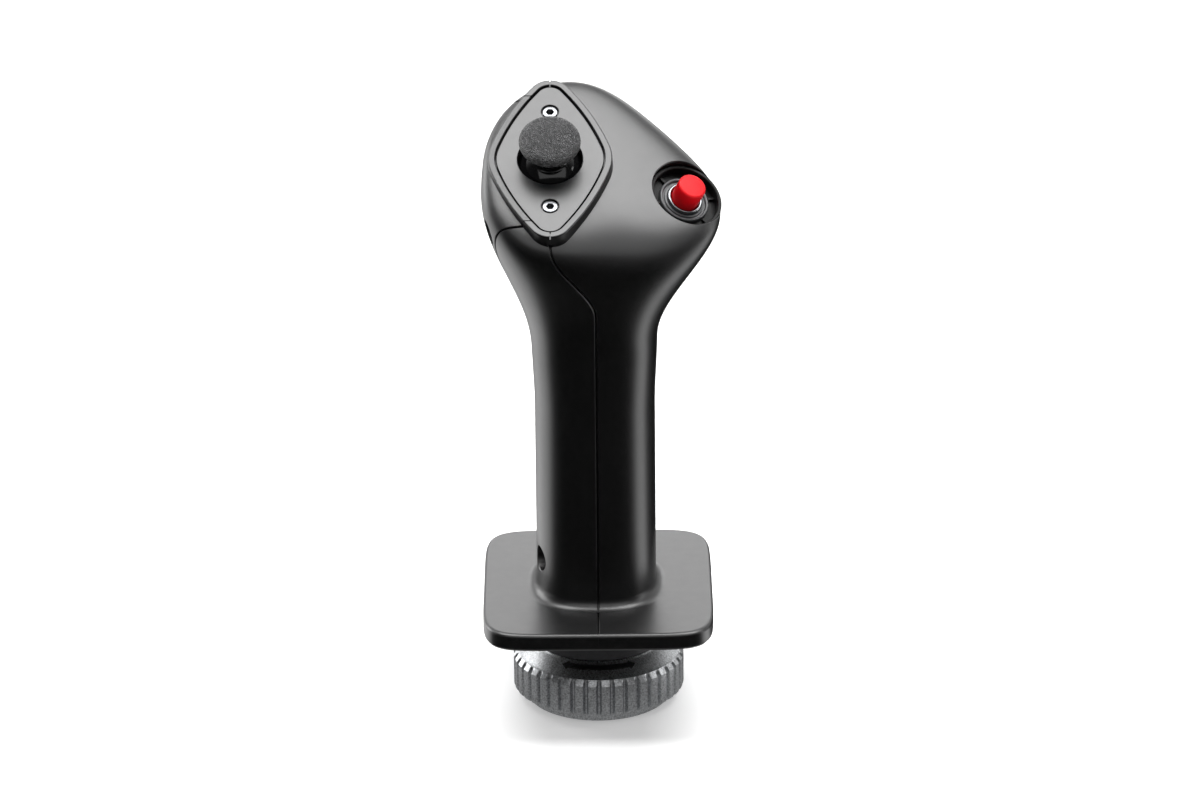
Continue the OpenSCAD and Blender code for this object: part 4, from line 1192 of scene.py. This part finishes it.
@dataclass
class ThumbPlate:
    """Diamond plate with the stick's hole, and its two hex socket screws."""

    top: float = -0.4
    thick: float = 2.4
    hole_r: float = 8.85
    span: float = 33.2
    recess_r: float = 2.4
    head_r: float = 2.0
    head_t: float = 1.1
    shank_r: float = 1.2
    shank_l: float = 6.0
    play: float = 0.1
    edge: float = 0.22

    def build(self) -> None:
        """Make the plate and the screws."""
        top, low, e = self.top, self.top - self.thick, self.edge
        plate = SHELLS.diamond("diamond_plate", [(low, 0), (top - e, 0), (top - e * 0.3, -e * 0.3), (top, -e)])
        r, under = self.hole_r, low - 2
        mouth = [[r, top - 0.35], [r + 0.1, top - 0.12], [r + 0.3, top], [r + 3, 3], [0, 3]]
        hole = lathe("stick_hole", [[0, under], [r, under], *mouth], LAYOUT.plate_frame, 192)
        combine(plate, Cut.TAKE_AWAY, [hole])
        seat = top - self.head_t - 0.1
        r, shank = self.recess_r, self.shank_r + self.play
        mouth = [[r, seat], [r, top - 0.15], [r + 0.15, top], [r + 2, 2], [0, 2]]
        bore = [[0, under], [shank, under], [shank, seat], *mouth]
        shifts = [Matrix.Translation((0, side * self.span / 2, 0)) for side in (-1, 1)]
        for shift in shifts:
            combine(plate, Cut.TAKE_AWAY, [lathe("screw_recess", bore, LAYOUT.plate_frame @ shift, 96)])
        deliver(plate, "grip", Slot.plate_plastic, "thumb_plate", flats=True)
        sizes = (self.head_r, self.head_t, self.shank_r, self.shank_l)
        down = Matrix.Translation((0, 0, seat))
        screws = [hex_screw("plate_screws", *sizes, LAYOUT.plate_frame @ shift @ down) for shift in shifts]
        combine(screws[0], Cut.JOIN, screws[1:])
        deliver(screws[0], "grip", Slot.screw_steel, "thumb_plate_screws")


@dataclass
class Thumbstick:
    """Round pebbled cap on a polished dome that closes the plate's hole."""

    cap_r: float = 8.4
    cap_t: float = 5.0
    cap_top: float = 19.2
    crown_h: float = 0.5
    shoulder_r: float = 1.9
    belly_r: float = 2.5
    dome_r: float = 10.8
    dome_wall: float = 0.9
    dome_edge: float = 66.0
    neck_r: float = 4.3
    stem_r: float = 1.8

    def build(self) -> None:
        """Make the cap and the dome."""
        self.cap()
        self.dome()

    def cap(self) -> None:
        """Rubber cap: a lathe profile with a round belly and shoulder under a crown that rises as a parabola."""
        r, top, low = self.cap_r, self.cap_top, self.cap_top - self.cap_t
        shoulder = arc((r - self.shoulder_r, top - self.crown_h - self.shoulder_r), self.shoulder_r, 0, 80, 16)
        rim, height = shoulder[-1]
        crown_r = np.linspace(rim, 0, 40)[1:]
        crown = np.column_stack([crown_r, top + (height - top) * (crown_r / rim) ** 2])
        belly = arc((r - self.belly_r, low + self.belly_r + 0.08), self.belly_r, -80, 0, 16)[:-1]
        under = np.array([[0, low], [belly[0, 0] - 0.8, low]])
        profile = np.concatenate([under, belly, shoulder, crown])
        cap = lathe("pebbled_cap", profile, LAYOUT.pivot_frame, 224)
        deliver(cap, "stick", Slot.cap_rubber, "thumbstick_cap", angle=60)

    def dome(self) -> None:
        """Dome of a sphere about the pivot, with a fillet of a quadratic curve up to its neck."""
        r, inner, neck = self.dome_r, self.dome_r - self.dome_wall, self.neck_r
        top = self.cap_top - self.cap_t - 0.01
        neck_a = math.degrees(math.asin((neck + 0.9) / r))
        outer = arc((0, 0), r, 90 - self.dome_edge, 90 - neck_a, 30)
        start = outer[-1]
        t = np.linspace(0, 1, 12)[1:-1, None]
        corner, end = np.array([[neck, start[1] + 0.35], [neck, start[1] + 1.5]])
        fillet = (1 - t) ** 2 * start + 2 * t * (1 - t) * corner + t**2 * end
        stem = [end, [neck, top - 0.2], [neck - 0.2, top], [self.stem_r, top], [self.stem_r, inner * 0.913]]
        back = arc((0, 0), inner, 66, 90 - self.dome_edge, 24)
        dome = lathe("polished_dome", np.concatenate([outer, fillet, stem, back]), LAYOUT.pivot_frame, 160)
        deliver(dome, "stick", Slot.dome_plastic, "thumbstick_dome")


# ---------- push button ----------


@dataclass
class PushButton:
    """Red button in its bushing, the collar around it and the cup that lines the pocket."""

    cap_r: float = 3.9
    cap_top: float = 3.0
    cap_foot: float = -4.6
    cap_edge: float = 0.62
    cap_crown: float = 0.14
    bushing_r: float = 5.0
    bushing_top: float = -2.9
    bushing_end: float = -12.0
    run: float = 0.05
    plunger_r: float = 1.4
    cup_r: float = 10.3
    cup_wall: float = 1.0
    cup_floor: float = -5.0
    cup_base: float = -6.2
    cup_top: float = -2.2
    rib_count: int = 6

    def build(self) -> None:
        """Make the four pieces around the button's axis."""
        hole = self.bushing_r + 0.1
        for name, profile, count, body, slot, node in (
            ("red_button", self.cap(), 128, "button", Slot.button_red, "button_cap"),
            ("button_bushing_tube", self.bushing(), 128, "grip", Slot.bushing_metal, "button_bushing"),
            ("button_collar_ring", self.collar(hole), 128, "grip", Slot.collar_grey, "button_collar"),
            ("button_pocket_cup", self.cup(hole), 160, "grip", Slot.cup_plastic, "button_cup"),
        ):
            piece = lathe(name, profile, LAYOUT.button_frame, count)
            if slot is Slot.cup_plastic:
                combine(piece, Cut.JOIN, self.ribs())
            deliver(piece, body, slot, node)

    def cap(self) -> np.ndarray:
        """Profile of the red cap, with a round edge and a crown that rises as a parabola."""
        edge, crown = self.cap_edge, self.cap_crown
        r, top = self.cap_r - edge, self.cap_top
        crown = np.column_stack([np.linspace(r, 0, 14), top - crown * np.linspace(1, 0, 14) ** 2])
        side = arc((r, top - edge - self.cap_crown), edge, 0, 84, 10)
        return np.concatenate([[[0, self.cap_foot], [self.cap_r, self.cap_foot]], side, crown])

    def bushing(self) -> np.ndarray:
        """Profile of the metal tube that guides the button, with a rolled lip."""
        bore, out, top, end = self.cap_r + self.run, self.bushing_r, self.bushing_top, self.bushing_end
        half = (out - bore - 0.1) / 2
        lip = arc((out - half, top - half), half, 180, 0, 12)
        inner = self.plunger_r + 1.6
        return np.concatenate([[[bore, top - 0.8]], lip, [[out, end], [inner, end], [inner, end + 1], [bore, end + 1]]])

    def collar(self, hole: float) -> np.ndarray:
        """Profile of the stepped grey collar: an outer bead, a groove and an inner land."""
        low = self.cup_floor
        bead = arc((6.62, low + 0.95), 0.43, -10, 190, 12)
        land = [[6.1, low + 0.62], [5.75, low + 0.62], [5.6, low + 1.0], [hole, low + 1.05]]
        return np.concatenate([[[hole, low], [7.05, low]], bead, land])

    def cup(self, hole: float) -> np.ndarray:
        """Profile of the cup that lines the pocket."""
        r, base, top, floor, e = self.cup_r, self.cup_base, self.cup_top, self.cup_floor, 0.2
        inner = r - self.cup_wall
        outside = [[hole, base], [r, base], [r, top - e], [r - e, top]]
        return np.array([*outside, [inner + e, top], [inner, top - e], [inner, floor], [hole, floor]])

    def ribs(self) -> list[Object]:
        """Small ribs between the cup's floor and wall."""
        made = []
        low, high = (7.3, -0.3, self.cup_floor - 0.4), (self.cup_r - self.cup_wall + 0.3, 0.3, self.cup_floor + 0.8)
        for i in range(self.rib_count):
            turn = Matrix.Rotation(2 * math.pi * (i + 0.35) / self.rib_count, 4, "Z")
            made.append(box("rib", low, high, LAYOUT.button_frame @ turn))
        return made


# ---------- coupling ring ----------


@dataclass
class CouplingRing:
    """Knurled ring: flat-topped ribs with vee flutes, a plain lip below and a shallow cone above."""

    flutes: int = 40
    lip_h: float = 3.0
    knurl_h: float = 9.2
    chamfer_h: float = 1.6
    ring_top: float = 17.2
    shelf_z: float = 12.6
    thread_l: float = 9.0
    thread_r: float = 17.0
    shelf_r: float = 18.8
    throat_r: float = 16.75
    neck_r: float = 17.6
    flute_depth: float = 1.15
    vee_start: float = 0.56
    vee_width: float = 0.34
    steps: int = 24
    arrow_r: float = 19.3
    arrow_half: float = 0.7
    arrow_head: float = 1.4
    arrow_sweep: float = 32.0
    arrow_head_sweep: float = 6.5
    arrow_lift: float = 0.03

    def __post_init__(self) -> None:
        """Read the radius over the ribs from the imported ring, and place the cone's two ends."""
        low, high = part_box("lock_ring")
        self.outer_r = (high.x - low.x) / MM / 2
        self.knurl_top = self.lip_h + self.knurl_h
        self.cone_foot = (self.outer_r - 1.3, self.knurl_top + self.chamfer_h + 0.06)
        self.cone_top = (self.neck_r + 0.3, self.ring_top - 0.3)

    def build(self) -> None:
        """Make the ring and its printed turning arrow."""
        self.ring()
        self.arrow()

    def profile(self) -> np.ndarray:
        """Rows of radius and height round the ring's section, over the ribs."""
        r, lip, top, knurl = self.outer_r, self.lip_h, self.ring_top, self.knurl_top
        base = [[r - 4.3, 0], [r - 3.95, 0.08], [r - 3.75, 0.3], [r - 3.7, 0.7], [r - 3.7, lip - 0.75]]
        step = [[r - 3.55, lip - 0.5], [r - 1.3, lip - 0.15], [r - 0.75, lip + 0.1]]
        low_edge = [[r - 0.3, lip + 0.3], [r - 0.08, lip + 0.5]]
        face = np.column_stack([np.full(12, r), np.linspace(lip + 0.75, knurl, 12)])
        t = np.linspace(0, 1, 9)[1:]
        chamfer = np.column_stack([r - 1.15 * t, knurl + self.chamfer_h * t])
        cone = np.linspace(self.cone_foot, self.cone_top, 14)
        crown = [[self.neck_r + 0.1, top - 0.08], [self.neck_r - 0.15, top]]
        throat, shelf, thread, z = self.throat_r, self.shelf_r, self.thread_r, self.thread_l
        upper = [[throat + 0.1, top], [throat, top - 0.1], [throat, self.shelf_z], [shelf, self.shelf_z]]
        lower = [[shelf, z], [thread, z], [thread, 0.4], [thread + 0.4, 0.0]]
        return np.concatenate([base, step, low_edge, face, chamfer, cone, crown, upper, lower])

    def ring(self) -> None:
        """The ring as a grid: radius r(z) from the profile, less the flutes' depth where they cut.

        Across a flute the cut is d * w(a), with w a flat-bottomed vee that is 0 on the rib, and its depth fades
        into the upper chamfer so that the flutes run out in points.
        """
        profile = self.profile()
        count = self.flutes * self.steps
        a = np.arange(count) / self.steps
        phase = np.abs((a % 1) - 0.5) * 2
        vee = rise(phase, self.vee_start, self.vee_start + self.vee_width)
        root = self.outer_r - self.flute_depth
        section_r, z = profile[:, :1], profile[:, 1:]
        radius = np.repeat(section_r, count, 1)
        band = (z > self.lip_h + 0.05) & (z < self.knurl_top + self.chamfer_h - 0.01) & (section_r > self.outer_r - 1.2)
        radius = np.where(band, np.minimum(radius, root + (1 - vee) * (radius - root)), radius)
        angle = 2 * np.pi * a / self.flutes
        points = np.stack([radius * np.cos(angle), radius * np.sin(angle), np.repeat(z, count, 1)], 2)
        ring = new_solid("knurled_ring", points.reshape(-1, 3), quads(len(profile), count, closed=True))
        deliver(ring, "coupling_ring", Slot.ring_aluminium, "lock_ring", angle=24)

    def arrow(self) -> None:
        """Double-headed arrow printed round the cone towards the pilot, a little above it."""
        whole, head = math.radians(self.arrow_sweep), math.radians(self.arrow_head_sweep)
        a = np.linspace(-whole, whole, 49)
        tip = np.abs(a) > whole - head
        half = np.where(tip, self.arrow_head * (whole - np.abs(a)) / head, self.arrow_half)
        rows = np.stack([self.arrow_r - half, self.arrow_r + half], 1)
        (low_r, low_z), (top_r, top_z) = self.cone_foot, self.cone_top
        height = low_z + (top_z - low_z) * (low_r - rows) / (low_r - top_r) + self.arrow_lift
        angle = (a - math.pi / 2)[:, None]
        points = np.stack([rows * np.cos(angle), rows * np.sin(angle), height], 2).reshape(-1, 3)
        k = np.arange(len(a) - 1) * 2
        mark = new_object("turning_arrow", points, np.stack([k, k + 1, k + 3, k + 2], 1).tolist())
        deliver(mark, "coupling_ring", Slot.core_metal, angle=None, finish=MARK_PAINT)


# ---------- trigger and screws ----------


@dataclass
class Trigger:
    """Finger trigger behind the head, with rounded edges."""

    edge_r: float = 0.7

    def build(self) -> None:
        """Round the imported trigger's edges on a copy, which keeps its bore and its place."""
        trigger = duplicate(frame["nodes"]["trigger"], "finger_trigger")
        merge(trigger)
        bevel(trigger, self.edge_r, 4, 50)
        deliver(trigger, "trigger", Slot.trigger_plastic, "trigger", angle=30)


@dataclass
class ShellScrews:
    """Three hex socket screws deep in the left shell and the panel."""

    head_r: float = 2.75
    head_t: float = 2.6
    shank_r: float = 1.45
    tip_x: float = 8.0
    panel_tip_x: float = -15.5

    def build(self) -> None:
        """Make the screws along +X."""
        seats = [(SHELLS.seat_x, *screw, self.tip_x) for screw in SHELLS.column_screws]
        seats.append((SHELLS.panel_seat_x, *SHELLS.panel_screw, self.panel_tip_x))
        screws = []
        for x, y, z, tip in seats:
            where = Matrix.Translation((x, y, z)) @ Matrix.Rotation(-math.pi / 2, 4, "Y")
            screws.append(hex_screw("shell_cap_screws", self.head_r, self.head_t, self.shank_r, tip - x, where))
        combine(screws[0], Cut.JOIN, screws[1:])
        deliver(screws[0], "grip", Slot.screw_steel, "shell_screws")


# ---------- the CAD nodes that stay ----------


def dress_cad_nodes() -> None:
    """Give every CAD node that still shows the material of its slot."""
    slots = {part["node"]: part["material_slot"] for part in frame["record"]["subparts"]}
    for name, obj in frame["nodes"].items():
        finish = Slot[slots[name]].value
        for index in range(max(1, len(obj.material_slots))):
            if obj.material_slots:
                obj.material_slots[index].material = PAINT.get(finish)
            else:
                obj.data.materials.append(PAINT.get(finish))
        LOG.info("%s: CAD node in %s", name, finish.name)


# ---------- studio ----------


@dataclass(frozen=True)
class Softbox:
    """Rectangular lamp: where it is, what it points at and its size in metres, and its face's brightness."""

    name: str
    at: Place
    size: tuple[float, float]
    brightness: float
    aim: Place = (0.0, 0.0, 0.1)


@dataclass(frozen=True)
class PaintedGlowCard:
    """Glowing card painted into the floor for glossy rays only, a painted reflection and no lamp: bearings in degrees
    where it starts, is full, fades and ends, and its strength.
    """

    start: float
    full: float
    fade: float
    end: float
    strength: float


@dataclass
class Studio:
    """Pale floor, soft lamps and the camera."""

    camera_at: Place = (1.0, -1391.0, 649.0)
    looks_at: Place = (1.0, 0.0, 88.7)
    lens: float = 162.4
    roll: float = -0.5
    floor_half: float = 4000.0
    floor_lift: float = 0.3
    # Strength of the painted glow under the ring, where the floor lies in shadow; only glossy rays see it.
    card_near: float = 0.26
    near_edge: tuple[float, float] = (0.05, 0.075)
    far_edge: tuple[float, float] = (0.04, 0.09)
    wall_y: tuple[float, float] = (-0.1, 0.55)
    wall_light: tuple[float, float] = (0.08, 1.0)
    # Painted reflections: glowing cards in the floor that only glossy rays see, though they are no lamps.
    cards: tuple[PaintedGlowCard, ...] = (
        PaintedGlowCard(-178.0, -128.0, -100.0, -78.0, 1.8),
        PaintedGlowCard(66.0, 80.0, 98.0, 114.0, 2.0),
    )
    lamps: tuple[Softbox, ...] = (
        Softbox("top_softbox", (0.05, 0.05, 1.1), (1.4, 0.62), 7.2, (0.05, 0, 0.1)),
        Softbox("front_softbox", (0.1, -0.75, 0.95), (1.8, 0.7), 1.0, (0, 0, 0.13)),
        Softbox("back_softbox", (0.0, 1.0, 0.45), (0.9, 0.5), 1.9),
        Softbox("left_softbox", (-0.72, 0.5, 0.36), (0.4, 0.6), 4.0),
        Softbox("right_strip", (0.85, 0.0, 0.36), (0.16, 0.6), 3.0),
    )

    def build(self) -> None:
        """Set the view transform, and make the floor, the world, the lamps and the camera."""
        bpy.context.scene.view_settings.view_transform = "Standard"
        self.floor()
        self.world()
        for lamp in self.lamps:
            self.lamp(lamp)
        self.camera()

    def floor(self) -> None:
        """Matt white floor that a camera sees a little brighter than it is lit, so that it reads as white."""
        s = self.floor_half
        floor = new_object("studio_floor", np.array([[-s, -s, 0], [s, -s, 0], [s, s, 0], [-s, s, 0]]), [[0, 1, 2, 3]])
        material = bpy.data.materials.new("white_floor")
        nodes = Nodes(material)
        rays = nodes.add("LightPath").outputs
        matt = nodes.add("BsdfDiffuse", Color=(0.8, 0.8, 0.8, 1))
        lift = nodes.add("Math", rays["Is Camera Ray"], self.floor_lift, operation="MULTIPLY")
        both = nodes.add("AddShader", matt, nodes.add("Emission", Strength=lift))
        # To glossy rays the floor shows no lit colour, only painted reflections: glowing cards and a disc, dark
        # elsewhere.
        cards = nodes.add("Emission", Strength=self.reflections(nodes))
        nodes.add("OutputMaterial", Surface=nodes.add("MixShader", rays["Is Glossy Ray"], both, cards))
        floor.data.materials.append(material)

    def reflections(self, nodes: Nodes) -> bpy.types.Node:
        """Brightness of the painted reflections on the floor, by bearing from the camera side and by distance.

        They glow for glossy rays only and are no lamps: a wide card at the left and the back, a narrow one at the
        right, painted dark in front as for a dark cloth, and a glowing disc under the ring, where the floor lies in
        the flange's shadow.

        Args:
            nodes: the floor material's nodes.

        Returns:
            The node that holds the strength.
        """
        where = nodes.add("NewGeometry").outputs["Position"]
        split = nodes.add("SeparateXYZ", where).outputs
        towards = nodes.add("Math", split["Y"], -1.0, operation="MULTIPLY")
        bearing = nodes.add("Math", split["X"], towards, operation="ARCTAN2")
        soft = {"interpolation_type": "SMOOTHSTEP"}
        total = 0.0
        for card in self.cards:
            a, b, c, d = (math.radians(angle) for angle in (card.start, card.full, card.fade, card.end))
            up = nodes.add("MapRange", bearing, a, b, 0.0, card.strength, **soft)
            down = nodes.add("MapRange", bearing, c, d, 1.0, 0.0, **soft)
            total = nodes.add("Math", total, nodes.add("Math", up, down, operation="MULTIPLY"), operation="ADD")
        distance = nodes.add("VectorMath", where, operation="LENGTH")
        # Painted glow under the ring, seen in reflections where the floor lies in the flange's shadow.
        near = nodes.add("MapRange", distance, *self.near_edge, self.card_near, 0.0, **soft)
        far = nodes.add("MapRange", distance, *self.far_edge, 0.0, 1.0, **soft)
        return nodes.add("Math", nodes.add("Math", total, far, operation="MULTIPLY"), near, operation="ADD")

    def world(self) -> None:
        """White to the camera, and to everything else a dim room with a pale wall at the back."""
        world = bpy.data.worlds.new("studio")
        bpy.context.scene.world = world
        nodes = Nodes(world)
        split = nodes.add("SeparateXYZ", nodes.add("TexCoord").outputs["Generated"]).outputs
        wall = nodes.add("MapRange", split["Y"], *self.wall_y, *self.wall_light, interpolation_type="SMOOTHSTEP")
        path = nodes.add("LightPath").outputs["Is Camera Ray"]
        strength = nodes.add("Mix", Factor=path, A=wall, B=1.0)
        nodes.add("OutputWorld", Surface=nodes.add("Background", Strength=strength))

    def lamp(self, box: Softbox) -> None:
        """Area lamp whose power gives its face the brightness: pi times its area times that."""
        data = bpy.data.lights.new(box.name, "AREA")
        data.shape = "RECTANGLE"
        data.size, data.size_y = box.size
        data.energy = math.pi * data.size * data.size_y * box.brightness
        lamp = bpy.data.objects.new(box.name, data)
        lamp.matrix_world = aimed(Vector(box.at), Vector(box.aim))
        bpy.context.scene.collection.objects.link(lamp)

    def camera(self) -> None:
        """Long lens from the front and above."""
        data = bpy.data.cameras.new("camera")
        data.lens = self.lens
        data.sensor_width = 36
        data.clip_end = 20
        camera = bpy.data.objects.new("camera", data)
        turn = Matrix.Rotation(math.radians(self.roll), 4, "Z")
        camera.matrix_world = aimed(Vector(self.camera_at) * MM, Vector(self.looks_at) * MM) @ turn
        bpy.context.scene.collection.objects.link(camera)
        bpy.context.scene.camera = camera


def aimed(at: Vector, aim: Vector) -> Matrix:
    """Frame at a place whose -Z points at another."""
    return Matrix.Translation(at) @ (aim - at).to_track_quat("-Z", "Y").to_matrix().to_4x4()


def main() -> None:
    """Build the studio, dress the CAD nodes and make the pieces that replace the plain ones."""
    logging.basicConfig(level=logging.INFO, format="%(name)s %(message)s")
    Studio().build()
    dress_cad_nodes()
    for assembly in (SHELLS, ThumbPlate(), Thumbstick(), PushButton(), CouplingRing(), Trigger(), ShellScrews()):
        assembly.build()


if __name__ == "__main__":
    main()
